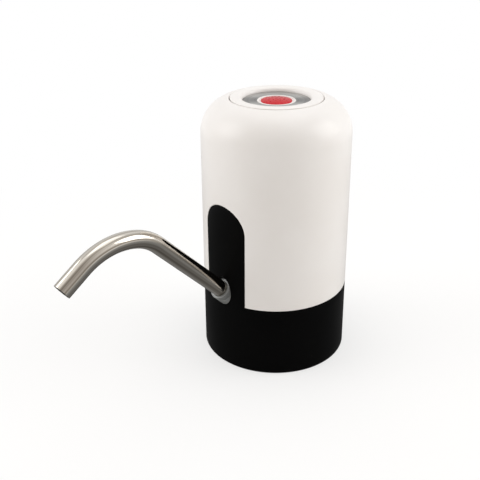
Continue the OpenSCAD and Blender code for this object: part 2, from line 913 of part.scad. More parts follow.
// Motor: steel can, magnets, rear cover and terminals
module motor_can() {
    color("#a9adb2") translate([0, 0, motor_z]) difference() {
        union() {
            cylinder(r = motor_r, h = motor_l);
            translate([0, 0, -nose_h]) cylinder(r = nose_r, h = nose_h + eps);
        }
        translate([0, 0, can_wall]) cylinder(r = motor_r - can_wall, h = motor_l);
        translate([0, 0, -nose_h - over]) cylinder(r = shaft_r + slip, h = motor_l);
        at_motor_holes() translate([0, 0, -over]) cylinder(r = motor_screw_r + slip, h = can_wall + 2 * over);
    }
}

module motor_magnets() {
    color("#505055") for (a = [0, 180]) rotate([0, 0, a - magnet_arc / 2])
        translate([0, 0, rotor_z - magnet_over]) rotate_extrude(angle = magnet_arc) translate([magnet_ri, 0])
            square([motor_r - can_wall - magnet_ri, rotor_h + 2 * magnet_over]);
}

module motor_endcap() {
    color("#e2e0d8") difference() {
        union() {
            translate([0, 0, motor_top - endcap_t]) cylinder(r = motor_r - can_wall - slip, h = endcap_t);
            translate([0, 0, motor_top]) cylinder(r = motor_r, h = endcap_proud);
            translate([0, 0, motor_top + endcap_proud]) cylinder(r = nose_r, h = tail_h);
        }
        translate([0, 0, motor_top - endcap_t - over]) cylinder(r = shaft_r + slip, h = motor_l);
    }
}

module motor_terminals() {
    color("#c8a24a") for (x = [-terminal_x, terminal_x])
        translate([x - terminal_w / 2, terminal_y - terminal_t / 2, motor_top + endcap_proud])
            cube([terminal_w, terminal_t, terminal_h]);
}

module motor_screws() {
    color("#b8bcc2") at_motor_holes() translate([0, 0, motor_z - crank_top_t]) mirror([0, 0, 1])
        screw(motor_screw_r, crank_top_t + can_wall + screw_end);
}

// Turning parts of the motor and the drive of the wobble plate
module motor_shaft() {
    color("#d0d2d4") translate([0, 0, shaft_z]) cylinder(r = shaft_r, h = motor_top + endcap_proud - shaft_z);
}

module at_poles() {
    for (k = [0:2]) rotate([0, 0, 120 * k]) children();
}

// Curved shoe at the end of one pole, seen along the shaft
module pole_shoe() {
    reach = 2 * rotor_r;
    intersection() {
        difference() {
            circle(rotor_r);
            circle(shoe_ri);
        }
        polygon([[0, 0], [reach * cos(pole_arc / 2), -reach * sin(pole_arc / 2)],
            [reach * cos(pole_arc / 2), reach * sin(pole_arc / 2)]]);
    }
}

module rotor_core() {
    color("#6e7278") translate([0, 0, rotor_z]) linear_extrude(rotor_h) difference() {
        union() {
            circle(rotor_core_r);
            at_poles() translate([0, -pole_w / 2]) square([shoe_ri + pole_root, pole_w]);
            at_poles() pole_shoe();
        }
        circle(shaft_r);
    }
}

// One coil wound round each pole, as deep as the pole shoe allows
module rotor_windings() {
    w = pole_w + 2 * winding_t;
    depth = sqrt(pow(shoe_ri - eps, 2) - pow(w / 2, 2)) - winding_ri;
    color("#b5651d") translate([0, 0, rotor_z]) at_poles() difference() {
        translate([winding_ri, -w / 2, -winding_t]) cube([depth, w, rotor_h + 2 * winding_t]);
        translate([0, -pole_w / 2, 0]) cube([rotor_r, pole_w, rotor_h]);
    }
}

module commutator() {
    z0 = rotor_z + rotor_h + winding_t;
    color("#c07a3a") translate([0, 0, z0]) ring(commutator_r, shaft_r, motor_top - endcap_t - run_gap - z0);
}

module eccentric_hub() {
    color("#e6e2d6") difference() {
        translate([0, 0, hub_z]) cylinder(r = hub_r, h = hub_top - hub_z);
        translate([0, 0, shaft_z]) cylinder(r = shaft_r, h = crank_h);
        at_pivot() cylinder(r = pin_r, h = pin_top);
        translate([-hub_r - over, -hub_r, hub_top - hub_notch_h])
            cube([hub_notch_w + over, 2 * hub_r, hub_notch_h + over]);
    }
}

module wobble_pin() {
    color("#d0d2d4") at_pivot() translate([0, 0, plate_t / 2])
        cylinder(r = pin_r, h = pin_top - plate_t / 2);
}

module wobble_plate() {
    color("#dcd8cc") at_pivot() difference() {
        union() {
            cylinder(r = plate_hub_r, h = plate_t);
            for (a = chamber_angles) rotate([0, 0, a]) {
                translate([0, -arm_w / 2, 0]) cube([chamber_pcd_r, arm_w, plate_t]);
                translate([chamber_pcd_r, 0, 0]) cylinder(r = arm_pad_r, h = plate_t);
            }
            cylinder(r = post_r, h = plate_t + post_h);
        }
        translate([0, 0, plate_t / 2 - pin_end_gap]) cylinder(r = pin_r + slip, h = plate_t + post_h);
    }
}

// Inner frame: lower plate with cell cup, columns, motor clip and board rails
module cell_cup(h) {
    translate([0, cell_y, 0]) linear_extrude(h) difference() {
        circle(cup_ring_r);
        circle(cell_r + room);
        translate([-cup_mouth / 2, -cell_d]) square([cup_mouth, cell_d]);
    }
}

module motor_clip() {
    ri = motor_r + slip;
    difference() {
        union() {
            cylinder(r = ri + clip_t, h = clip_h);
            translate([-column_x, -clip_t, 0]) cube([2 * column_x, 2 * clip_t, clip_h]);
        }
        translate([0, 0, -over]) cylinder(r = ri, h = clip_h + 2 * over);
        translate([-clip_mouth / 2, -base_d, -over]) cube([clip_mouth, base_d, clip_h + 2 * over]);
    }
}

module chassis() {
    color("#55585c") difference() {
        union() {
            translate([0, 0, chassis_z]) cylinder(r = chassis_r, h = chassis_t);
            translate([0, 0, cell_z]) cell_cup(cup_ring_h);
            at_columns() translate([-column_w / 2, -column_l / 2, cell_z - over])
                cube([column_w, column_l, bracket_z - cell_z + over]);
            translate([0, 0, clip_z]) motor_clip();
            for (x = [-rail_x, rail_x]) translate([x - rail_w / 2, board_y - rail_l, cell_z - over])
                cube([rail_w, rail_l, board_z + board_h - cell_z + over]);
        }
        translate([0, 0, chassis_z - over])
            cylinder(r = pump_r + room, h = chassis_t + cup_ring_h + 2 * over);
        at_spout() translate([0, 0, -spout_boss_l - over])
            cylinder(r = spout_boss_r + boss_gap, h = spout_boss_l + base_d);
        translate([0, cell_y, cell_z - tab_t]) cylinder(r = tab_w, h = tab_t + over);
        translate([0, cell_y - tab_w / 2 - room, cell_z - tab_t])
            cube([tab_l, tab_w + 2 * room, cup_ring_h + over]);
        at_posts() translate([0, 0, chassis_z - over])
            cylinder(r = chassis_screw_r + slip, h = chassis_t + 2 * over);
        at_columns() translate([0, 0, bracket_z - column_hole_l])
            cylinder(r = chassis_screw_r + slip, h = column_hole_l + over);
        at_board_holes() bar_y(board_screw_r + slip, board_y - rail_l - over, board_y + over);
    }
}

module chassis_screws() {
    color("#b8bcc2") at_posts() translate([0, 0, cell_z]) screw(chassis_screw_r, chassis_t + chassis_screw_l);
}

// Lithium cell with its welded tabs
module battery_cell() {
    color("#2f6fb0") translate([0, cell_y, cell_z]) rotate_extrude() union() {
        translate([0, cell_rim]) square([cell_r, cell_l - 2 * cell_rim]);
        square([cell_r - cell_rim, cell_l]);
        for (z = [cell_rim, cell_l - cell_rim]) translate([cell_r - cell_rim, z]) circle(cell_rim);
    }
}

module battery_tabs() {
    color("#c9c9c9") {
        translate([battery_lead_x - tab_w / 2, cell_y - tab_w / 2, cell_top]) cube([tab_w, tab_l, tab_t]);
        translate([-tab_w / 2, cell_y - tab_w / 2, cell_z - tab_t]) cube([tab_l, tab_w, tab_t]);
        translate([tab_tip_x - tab_t, cell_y - tab_w / 2, cell_z - tab_t])
            cube([tab_t, tab_w, tab_t + 2 * wire_d]);
    }
}

module battery_pad() {
    color("#3d3d3d") difference() {
        translate([0, cell_y, cell_top]) cylinder(r = cell_pad_r, h = cell_pad_t);
        translate([battery_lead_x - tab_w / 2 - room, cell_y - tab_w / 2 - room, cell_top - over])
            cube([tab_w + 2 * room, cell_d, over + tab_t]);
    }
}

// Bracket over the cell that carries the switch board
module top_bracket() {
    color("#55585c") difference() {
        union() {
            translate([0, 0, bracket_z]) linear_extrude(bracket_t) {
                square([2 * column_x + column_w, bracket_w], center = true);
                translate([-bracket_w / 2, cell_y]) square([bracket_w, -cell_y]);
                intersection() {
                    translate([0, cell_y]) circle(cup_ring_r);
                    circle(chassis_r);
                }
            }
            translate([0, 0, bracket_z - cup_ring_h]) cell_cup(cup_ring_h + eps);
            at_switch_holes() translate([0, 0, bracket_z + eps])
                cylinder(r = standoff_r, h = bracket_t + standoff_h - eps);
        }
        at_columns() translate([0, 0, bracket_z - over])
            cylinder(r = chassis_screw_r + slip, h = bracket_t + 2 * over);
        at_switch_holes() translate([0, 0, bracket_z - over])
            cylinder(r = board_screw_r + slip, h = bracket_t + standoff_h + 2 * over);
        translate([battery_lead_x - tab_w / 2 - room, cell_y, bracket_z - cup_ring_h - over])
            cube([tab_w + 2 * room, cell_d, cup_ring_h + over]);
    }
}

module bracket_screws() {
    color("#b8bcc2") at_columns() translate([0, 0, bracket_z + bracket_t])
        screw(chassis_screw_r, bracket_t + chassis_screw_l);
}

// Control board with its parts
module control_board() {
    color("#1f6b3a") difference() {
        translate([-board_w / 2, board_y, board_z]) cube([board_w, board_t, board_h]);
        at_board_holes() bar_y(board_screw_r + slip, board_y - over, board_face + over);
    }
}

module board_chips() {
    color("#26282b") translate([0, board_face, 0]) {
        translate([driver_x, 0, board_z + driver_up]) cube([driver_w, driver_t, driver_h]);
        translate([charger_x, 0, board_z + charger_up]) cube([charger_w, charger_t, charger_h]);
        translate([coil_x, 0, board_z + coil_up]) rotate([-90, 0, 0]) cylinder(r = coil_r, h = coil_h);
    }
}

module usb_outline(inset) {
    w = usb_w / 2 - inset;
    h = usb_h / 2 - inset;
    polygon([[-w, h], [w, h], [w, 0], [w - usb_corner, -h], [usb_corner - w, -h], [-w, 0]]);
}

module usb_socket() {
    color("#c4c6c8") translate([0, board_face, usb_z]) mirror([0, 0, 1]) rotate([-90, 0, 0]) difference() {
        linear_extrude(usb_l) usb_outline(0);
        translate([0, 0, usb_wall]) linear_extrude(usb_l) usb_outline(usb_wall);
    }
}

module usb_tongue() {
    color("#1b1b1d") translate([tongue_in - usb_w / 2, board_face + usb_wall, usb_z - room])
        cube([usb_w - 2 * tongue_in, usb_l - tongue_in, tongue_t]);
}

module indicator_led() {
    color("#f2e6c0") translate([-led_w / 2, board_face, led_z - led_h / 2]) cube([led_w, led_t, led_h]);
}

module light_pipe() {
    color("#f0f0ee") translate([0, 0, led_z]) bar_y(light_r, board_face + led_t, body_r(led_z) - light_inset);
}

module board_screws() {
    color("#b8bcc2") at_board_holes() translate([0, board_face, 0]) rotate([-90, 0, 0])
        screw(board_screw_r, board_t + rail_l - screw_end);
}

// Switch board under the key
module switch_board() {
    color("#1f6b3a") translate([0, 0, switch_board_z]) linear_extrude(board_t) difference() {
        square([switch_board_w, switch_board_l], center = true);
        at_switch_holes() circle(board_screw_r + slip);
    }
}

module switch_board_screws() {
    color("#b8bcc2") at_switch_holes() translate([0, 0, switch_z])
        screw(board_screw_r, board_t + standoff_h + bracket_t - screw_end);
}

module switch_body() {
    color("#202226") translate([0, 0, switch_z]) difference() {
        translate([-switch_w / 2, -switch_w / 2, 0]) cube([switch_w, switch_w, switch_h]);
        translate([0, 0, switch_floor]) cylinder(r = stem_r + slip, h = switch_h);
    }
}

module switch_stem() {
    color("#e8e4d8") translate([0, 0, stem_z]) cylinder(r = stem_r, h = stem_top - stem_z);
}

// Key with its recess, bezel, skirt, boss and hooks
module button_cap() {
    color("#f4f3f0") {
        difference() {
            intersection() {
                body_solid(0, key_skirt_z, body_h);
                cylinder(r = key_r, h = body_h);
            }
            translate([0, 0, key_skirt_z - over])
                cylinder(r = key_r - key_wall, h = key_floor_z - key_skirt_z + over);
            translate([0, 0, recess_z]) ring(plate_r + fit, bezel_r, over + recess_depth);
            translate([0, 0, recess_z]) cylinder(r = lens_r + lens_gap, h = over + recess_depth);
            translate([0, 0, bezel_z]) cylinder(r = plate_r, h = over + recess_depth);
        }
        translate([0, 0, stem_top]) cylinder(r = boss_r, h = boss_h + eps);
        for (a = ear_angles) rotate([0, 0, a]) translate([0, 0, key_skirt_z]) intersection() {
            ring(key_r + hook_out, key_r - key_wall, hook_h);
            translate([0, -hook_w / 2, 0]) cube([base_d, hook_w, hook_h]);
        }
    }
}

// Silver ring plate and domed lens
module button_plate() {
    color("#9a9c9e") translate([0, 0, recess_z]) ring(plate_r, bezel_r + fit, plate_thick);
}

module button_lens() {
    color("#c8202c") translate([0, 0, recess_z]) rotate_extrude() intersection() {
        square([lens_r, lens_thick]);
        translate([0, lens_thick - lens_crown_r]) circle(lens_crown_r, $fn = lens_fn);
    }
}

// Wires from motor, cell and switch to the control board
module motor_leads() {
    color("#b02020") for (x = [-terminal_x, terminal_x]) wire(at_x(x, motor_route), [1, 0, 0]);
}

module battery_leads() {
    color("#202020") {
        wire(at_x(battery_lead_x, battery_top_route), [1, 0, 0]);
        wire(battery_low_route, [0, 0, 1]);
    }
}

module switch_leads() {
    color("#d0b020") for (x = switch_lead_xs) wire(at_x(x, switch_route), [1, 0, 0]);
}

base_shell();
upper_shell();
neck_gasket();
hose_nozzle();
nozzle_washer();
inlet_oring();
pump_pad();
pump_head();
valve_plate();
inlet_valves();
outlet_valves();
diaphragm();
crank_housing();
pump_screws();
outlet_sleeve();
spout_collar();
spout();
motor_can();
motor_magnets();
motor_endcap();
motor_terminals();
motor_screws();
motor_shaft();
rotor_core();
rotor_windings();
commutator();
eccentric_hub();
wobble_pin();
wobble_plate();
chassis();
chassis_screws();
battery_cell();
battery_tabs();
battery_pad();
top_bracket();
bracket_screws();
control_board();
board_chips();
usb_socket();
usb_tongue();
indicator_led();
light_pipe();
board_screws();
switch_board();
switch_board_screws();
switch_body();
switch_stem();
button_cap();
button_plate();
button_lens();
motor_leads();
battery_leads();
switch_leads();
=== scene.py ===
"""Visual model of an electric water jug pump.

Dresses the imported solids: moulded shells with rounded edges, a bent steel spout in its collar, a push key
with a spun ring and a red lens, the finishes of every piece, a plain studio and the camera of the photograph.
"""

import functools
import json
import logging
import math
from collections.abc import Callable, Sequence
from dataclasses import dataclass, field
from enum import Enum

import bmesh
import bpy
from bpy.types import ID, Material, Mesh, Node, NodeOutputs, NodeSocket, NodeTree, Object
from mathutils import Matrix, Vector


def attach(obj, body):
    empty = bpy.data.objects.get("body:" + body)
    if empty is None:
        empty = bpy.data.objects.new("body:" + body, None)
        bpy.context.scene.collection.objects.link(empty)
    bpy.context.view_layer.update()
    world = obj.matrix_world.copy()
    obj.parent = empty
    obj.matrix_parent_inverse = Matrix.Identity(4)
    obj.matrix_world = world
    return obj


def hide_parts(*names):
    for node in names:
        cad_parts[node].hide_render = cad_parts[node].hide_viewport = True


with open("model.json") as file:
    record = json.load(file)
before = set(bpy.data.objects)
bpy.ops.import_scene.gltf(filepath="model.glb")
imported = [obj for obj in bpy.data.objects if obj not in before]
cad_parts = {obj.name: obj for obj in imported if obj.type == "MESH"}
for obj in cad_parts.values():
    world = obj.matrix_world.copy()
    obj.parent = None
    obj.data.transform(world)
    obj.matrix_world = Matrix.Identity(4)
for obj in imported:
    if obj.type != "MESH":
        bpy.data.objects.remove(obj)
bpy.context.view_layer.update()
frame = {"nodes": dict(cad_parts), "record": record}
LOG = logging.getLogger("jug_pump")
MM = 0.001
TINY = 1e-6
MERGE = 1e-7
QUARTER = math.pi / 2
SHARP = math.radians(32.0)
ROUND_STEPS = 5
WHITE = (1.0, 1.0, 1.0, 1.0)
ORIGIN = (0.0, 0.0, 0.0)
Color = tuple[float, float, float, float]
Point2 = tuple[float, float]
Point3 = tuple[float, float, float]
Corner = tuple[float, float, float]
Span = tuple[float, float, int]
Bands = list[list[int] | None]
Values = dict[str | int, object]


def linear(code: str) -> Color:
    """Turns a hexadecimal display colour into scene-linear red, green, blue and alpha.

    Args:
        code: Six hexadecimal digits.

    Returns:
        Linear colour with full alpha.
    """
    parts = [int(code[i:i + 2], 16) / 255 for i in (0, 2, 4)]
    red, green, blue = (c / 12.92 if c <= 0.04045 else ((c + 0.055) / 1.055) ** 2.4 for c in parts)
    return red, green, blue, 1.0


def spread(low: float, high: float, count: int) -> list[float]:
    """Evenly spaced values over a number of steps, both ends included."""
    return [low + (high - low) * k / count for k in range(count + 1)]


def placed(name: str, data: ID) -> Object:
    """Puts a mesh, curve, camera or lamp into the scene.

    Args:
        name: Name of the object.
        data: What it shows.

    Returns:
        The object.
    """
    piece = bpy.data.objects.new(name, data)
    bpy.context.scene.collection.objects.link(piece)
    return piece


def settled(piece: Object) -> Mesh:
    """Keeps what an object's modifiers give as a plain mesh.

    Args:
        piece: Object with its modifiers.

    Returns:
        The mesh.
    """
    graph = bpy.context.evaluated_depsgraph_get()
    live = piece.evaluated_get(graph)
    return bpy.data.meshes.new_from_object(live, preserve_all_data_layers=True, depsgraph=graph)


def smoothed(mesh: Mesh) -> Mesh:
    """Shades a mesh smooth and keeps its sharp edges.

    Args:
        mesh: Mesh to shade.

    Returns:
        The same mesh.
    """
    mesh.shade_smooth()
    mesh.set_sharp_from_angle(angle=SHARP)
    return mesh


class Skin:
    """Vertices and faces of one closed mesh under construction."""

    def __init__(self) -> None:
        """Starts with nothing in it."""
        self.points: list[Point3] = []
        self.faces: list[list[int]] = []

    def add(self, point: Point3) -> int:
        """Adds a vertex and returns its index."""
        self.points.append(point)
        return len(self.points) - 1

    def bridge(self, first: Sequence[int], second: Sequence[int], closed: bool = False) -> None:
        """Joins two rows of vertices by faces.

        Args:
            first: Indices of one row.
            second: Indices of the other row, as many.
            closed: Whether the rows run round and meet themselves.
        """
        count = len(first)
        for i in range(count if closed else count - 1):
            j = (i + 1) % count
            face = list(dict.fromkeys((first[i], first[j], second[j], second[i])))
            if len(face) > 2:
                self.faces.append(face)

    def chain(self, rows: Sequence[Sequence[int]], closed: bool = False) -> None:
        """Joins each row of vertices to the next one."""
        for one, other in zip(rows, rows[1:]):
            self.bridge(one, other, closed)

    def mesh(self, name: str) -> Mesh:
        """Makes the mesh, with its faces outwards.

        Args:
            name: Name of the mesh.

        Returns:
            The finished mesh.
        """
        mesh = bpy.data.meshes.new(name)
        mesh.from_pydata(self.points, [], self.faces)
        shape = bmesh.new()
        shape.from_mesh(mesh)
        bmesh.ops.remove_doubles(shape, verts=shape.verts, dist=MERGE)
        bmesh.ops.recalc_face_normals(shape, faces=shape.faces)
        shape.to_mesh(mesh)
        shape.free()
        return smoothed(mesh)


def rounded(corners: Sequence[Corner]) -> list[Point2]:
    """Rounds the corners of an open outline.

    Args:
        corners: Radius, height and rounding of each corner; the two ends aren't rounded.

    Returns:
        Points of the outline in order.
    """
    points: list[Point2] = [corners[0][:2]]
    for before, here, after in zip(corners, corners[1:], corners[2:]):
        corner = Vector(here[:2])
        if here[2] <= 0:
            points.append((corner.x, corner.y))
            continue
        back, ahead = (Vector(before[:2]) - corner).normalized(), (Vector(after[:2]) - corner).normalized()
        half = back.angle(ahead) / 2
        reach = here[2] / math.tan(half)
        centre = corner + (back + ahead).normalized() * (here[2] / math.sin(half))
        start, end = corner + back * reach - centre, corner + ahead * reach - centre
        turn = math.atan2(start.x * end.y - start.y * end.x, start.dot(end))
        for step in spread(0.0, turn, ROUND_STEPS):
            spoke = Matrix.Rotation(step, 2) @ start
            points.append((centre.x + spoke.x, centre.y + spoke.y))
    return [*points, corners[-1][:2]]


def flat_ring(inner: float, outer: float, low: float, high: float, under: float, over: float) -> list[Point2]:
    """Outline of a flat ring with eased edges.

    Args:
        inner: Radius of its hole.
        outer: Radius of its rim.
        low: Height of its underside.
        high: Height of its top.
        under: Rounding of the edges below.
        over: Rounding of the edges above.

    Returns:
        Points round the ring's section.
    """
    seam = (inner, (low + high) / 2, 0.0)
    corners = [(inner, low, under), (outer, low, under), (outer, high, over), (inner, high, over)]
    return rounded([seam, *corners, seam])[:-1]


def turned(name: str, outline: Sequence[Point2], steps: int = 160, place: Matrix | None = None) -> Mesh:
    """Turns an outline about Z.

    Args:
        name: Name of the mesh.
        outline: Radius and height of each point, from axis to axis or round a closed ring.
        steps: Steps round the axis.
        place: Where the piece goes, if not upright at the origin.

    Returns:
        The closed mesh.
    """
    skin = Skin()
    rings = []
    for turn in spread(0.0, 2 * math.pi, steps)[:-1]:
        rings.append([skin.add((r * math.sin(turn), -r * math.cos(turn), z)) for r, z in outline])
    skin.chain([*rings, rings[0]], closed=min(r for r, _ in outline) > TINY)
    mesh = skin.mesh(name)
    if place is not None:
        mesh.transform(place)
    return mesh


def pierced(wall: Mesh, tool: Mesh) -> Mesh:
    """Cuts one closed mesh out of another.

    Args:
        wall: Mesh that is cut.
        tool: Mesh that is taken away.

    Returns:
        What is left of the wall.
    """
    pieces = [placed(mesh.name, mesh) for mesh in (wall, tool)]
    cut = pieces[0].modifiers.new("cut", "BOOLEAN")
    cut.object, cut.operation, cut.solver = pieces[1], "DIFFERENCE", "EXACT"
    mesh = settled(pieces[0])
    for piece in pieces:
        bpy.data.meshes.remove(piece.data)
    return smoothed(mesh)


def shown(name: str, mesh: Mesh, body: str, slot: str, *nodes: str) -> Object:
    """Puts a mesh into the scene as a piece that rides on a body.

    Args:
        name: Name of the piece.
        mesh: Its mesh, in place.
        body: Body that it rides on.
        slot: Material slot of the record.
        nodes: Solids that it stands for.

    Returns:
        The piece.
    """
    piece = placed(name, mesh)
    if not mesh.materials:
        mesh.materials.append(FINISHES[slot].material())
    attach(piece, body)
    if nodes:
        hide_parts(*nodes)
    LOG.info("%s: %d faces on %s", name, len(mesh.polygons), body)
    return piece


class NodeSheet:
    """Adds and links the nodes of one tree."""

    def __init__(self, tree: NodeTree) -> None:
        """Works on an empty tree."""
        self.tree = tree
        tree.nodes.clear()

    def add(self, kind: str, values: Values | None = None, **settings: object) -> Node:
        """Adds a node.

        Args:
            kind: Node type.
            values: For each input, a socket to link from or a constant.
            settings: Properties of the node.

        Returns:
            The node.
        """
        node = self.tree.nodes.new(kind)
        for key, value in settings.items():
            setattr(node, key, value)
        for key, value in (values or {}).items():
            if isinstance(value, NodeSocket):
                self.tree.links.new(value, node.inputs[key])
            else:
                node.inputs[key].default_value = value
        return node

    def group(self, tree: NodeTree, values: Values) -> NodeOutputs:
        """Adds a shader node group with its own values and returns its outputs."""
        return self.add("ShaderNodeGroup", values, node_tree=tree).outputs

    def math(self, operation: str, *values: NodeSocket | float) -> NodeSocket:
        """Adds a calculation with numbers and returns its result."""
        return self.add("ShaderNodeMath", dict(enumerate(values)), operation=operation).outputs[0]

    def vector_math(self, operation: str, *values: NodeSocket | Point3) -> Node:
        """Adds a calculation with vectors and returns its node."""
        return self.add("ShaderNodeVectorMath", dict(enumerate(values)), operation=operation)

    def combine(self, *values: NodeSocket) -> NodeSocket:
        """Adds a vector that is made of up to three numbers and returns it."""
        return self.add("ShaderNodeCombineXYZ", dict(enumerate(values))).outputs[0]

    def noise(self, place: NodeSocket, scale: NodeSocket | float, detail: float,
              rough: float = 0.5) -> NodeSocket:
        """Adds a cloudy pattern and returns its value."""
        values = {"Vector": place, "Scale": scale, "Detail": detail, "Roughness": rough}
        return self.add("ShaderNodeTexNoise", values).outputs[0]

    def remap(self, value: NodeSocket, low: float, high: float, to_low: NodeSocket | float = 0.0,
              to_high: NodeSocket | float = 1.0, curve: str = "LINEAR") -> NodeSocket:
        """Adds a mapping from one range of numbers to another and returns its result."""
        values = {"Value": value, "From Min": low, "From Max": high, "To Min": to_low, "To Max": to_high}
        return self.add("ShaderNodeMapRange", values, interpolation_type=curve).outputs[0]

    def mix(self, share: NodeSocket, first: NodeSocket | Color, second: NodeSocket | Color) -> NodeSocket:
        """Adds a blend of two colours, which are the sockets 6 and 7 and the output 2, and returns it."""
        return self.add("ShaderNodeMix", {0: share, 6: first, 7: second}, data_type="RGBA").outputs[2]

    def bump(self, height: NodeSocket, strength: float, depth: float) -> NodeSocket:
        """Adds a fine relief and returns its normal."""
        values = {"Strength": strength, "Distance": depth, "Height": height}
        return self.add("ShaderNodeBump", values).outputs[0]

    def circle(self, sides: NodeSocket | int, radius: NodeSocket) -> NodeSocket:
        """Adds a round curve and returns it."""
        values = {"Resolution": sides, "Radius": radius}
        return self.add("GeometryNodeCurvePrimitiveCircle", values).outputs[0]

    def marked(self, shape: NodeSocket, name: str, value: NodeSocket) -> NodeSocket:
        """Adds a named attribute to a shape and returns the shape."""
        values = {"Geometry": shape, "Name": name, "Value": value}
        return self.add("GeometryNodeStoreNamedAttribute", values).outputs[0]

    def swept(self, curve: NodeSocket, profile: NodeSocket) -> NodeSocket:
        """Adds the mesh that a profile gives along a curve and returns it."""
        return self.add("GeometryNodeCurveToMesh", {"Curve": curve, "Profile Curve": profile}).outputs[0]

    def shader(self, values: Values) -> Node:
        """Adds the shader of a surface and returns its node."""
        return self.add("ShaderNodeBsdfPrincipled", values)


def group_tree(name: str, inputs: Values, outputs: Sequence[str]) -> tuple[NodeSheet, NodeOutputs]:
    """Starts a shader node group.

    Args:
        name: Name of the group.
        inputs: Default of each named input, whose type gives the socket's type.
        outputs: Named outputs; one that ends in Color is a colour, the rest are values.

    Returns:
        The sheet to add nodes on, and the sockets that give the inputs.
    """
    tree = bpy.data.node_groups.new(name, "ShaderNodeTree")
    for label, value in inputs.items():
        kind = "NodeSocketFloat"
        if isinstance(value, tuple):
            kind = "NodeSocketColor" if len(value) == 4 else "NodeSocketVector"
        tree.interface.new_socket(label, in_out="INPUT", socket_type=kind).default_value = value
    for label in outputs:
        kind = "NodeSocketColor" if label.endswith("Color") else "NodeSocketFloat"
        tree.interface.new_socket(label, in_out="OUTPUT", socket_type=kind)
    sheet = NodeSheet(tree)
    return sheet, sheet.add("NodeGroupInput").outputs


@functools.cache
def moulded_grain() -> NodeTree:
    """Fine grain of a moulding tool, as a roughness and a height.

    Returns:
        The group.
    """
    inputs = {"Vector": ORIGIN, "Scale": 900.0, "Low": 0.3, "High": 0.4}
    sheet, given = group_tree("moulded_grain", inputs, ["Roughness", "Height"])
    fine = sheet.noise(given["Vector"], given["Scale"], detail=3.0, rough=0.6)
    broad = sheet.noise(given["Vector"], scale=34.0, detail=2.0)
    both = sheet.math("MULTIPLY", fine, broad)
    rough = sheet.remap(both, low=0.12, high=0.42, to_low=given["Low"], to_high=given["High"])
    sheet.add("NodeGroupOutput", {"Roughness": rough, "Height": fine})
    return sheet.tree


@functools.cache
def tone_drift() -> NodeTree:
    """Slow drift between two near tones of one colour.

    Returns:
        The group.
    """
    inputs = {"Vector": ORIGIN, "Scale": 30.0, "Tone": WHITE, "Shade": WHITE}
    sheet, given = group_tree("tone_drift", inputs, ["Color"])
    cloud = sheet.noise(given["Vector"], given["Scale"], detail=4.0, rough=0.55)
    share = sheet.remap(cloud, low=0.35, high=0.7)
    sheet.add("NodeGroupOutput", {"Color": sheet.mix(share, given["Tone"], given["Shade"])})
    return sheet.tree


@functools.cache
def long_streaks() -> NodeTree:
    """Streaks of a drawn or brushed surface, from a coordinate that is stretched along them; on the spout the
    broad ones are also painted reflection bands.

    Returns:
        The group.
    """
    inputs = {"Vector": ORIGIN, "Across": 60.0, "Along": 2.0}
    sheet, given = group_tree("long_streaks", inputs, ["Fine", "Broad"])
    parts = sheet.add("ShaderNodeSeparateXYZ", {0: given["Vector"]}).outputs
    scales = (given["Across"], given["Across"], given["Along"])
    place = sheet.combine(*(sheet.math("MULTIPLY", part, scale) for part, scale in zip(parts, scales)))
    fine = sheet.noise(place, scale=1.0, detail=4.0)
    broad = sheet.noise(place, scale=0.16, detail=2.0)
    sheet.add("NodeGroupOutput", {"Fine": fine, "Broad": broad})
    return sheet.tree


@dataclass(frozen=True)
class Finish:
    """Look of one material slot, between two tones."""

    name: str
    tone: str
    shade: str

    def dress(self, sheet: NodeSheet, spot: NodeSocket) -> Node:
        """Adds the shader and what feeds it; each finish has its own."""
        raise NotImplementedError

    def tint(self, sheet: NodeSheet, spot: NodeSocket, scale: float) -> NodeSocket:
        """Adds the slow drift between the tones and returns its colour."""
        tones = {"Tone": linear(self.tone), "Shade": linear(self.shade)}
        return sheet.group(tone_drift(), {"Vector": spot, "Scale": scale, **tones})["Color"]

    def material(self) -> Material:
        """Makes the material once.

        Returns:
            The material.
        """
        found = bpy.data.materials.get(self.name)
        if found is not None and found.get("jug_pump"):
            return found
        made = found or bpy.data.materials.new(self.name)
        made.use_nodes = True
        made["jug_pump"] = True
        sheet = NodeSheet(made.node_tree)
        shader = self.dress(sheet, sheet.add("ShaderNodeTexCoord").outputs["Object"])
        sheet.add("ShaderNodeOutputMaterial", {"Surface": shader.outputs[0]})
        return made


@dataclass(frozen=True)
class Moulded(Finish):
    """Plastic or rubber from a moulding tool."""

    rough: Point2 = (0.32, 0.42)
    scale: float = 900.0
    relief: float = 0.05
    coat: float = 0.0
    coat_rough: float = 0.08
    specular: float = 0.5
    drift: float = 26.0
    depth: float = 0.2 * MM

    def dress(self, sheet: NodeSheet, spot: NodeSocket) -> Node:
        """Adds grain, drifting tone and the plastic's shader.

        Args:
            sheet: Sheet of the material.
            spot: Place on the piece.

        Returns:
            The shader.
        """
        low, high = self.rough
        grain = sheet.group(moulded_grain(), {"Vector": spot, "Scale": self.scale, "Low": low, "High": high})
        return sheet.shader({
            "Base Color": self.tint(sheet, spot, self.drift), "Roughness": grain["Roughness"],
            "Normal": sheet.bump(grain["Height"], self.relief, self.depth), "Coat Weight": self.coat,
            "Coat Roughness": self.coat_rough, "Specular IOR Level": self.specular})


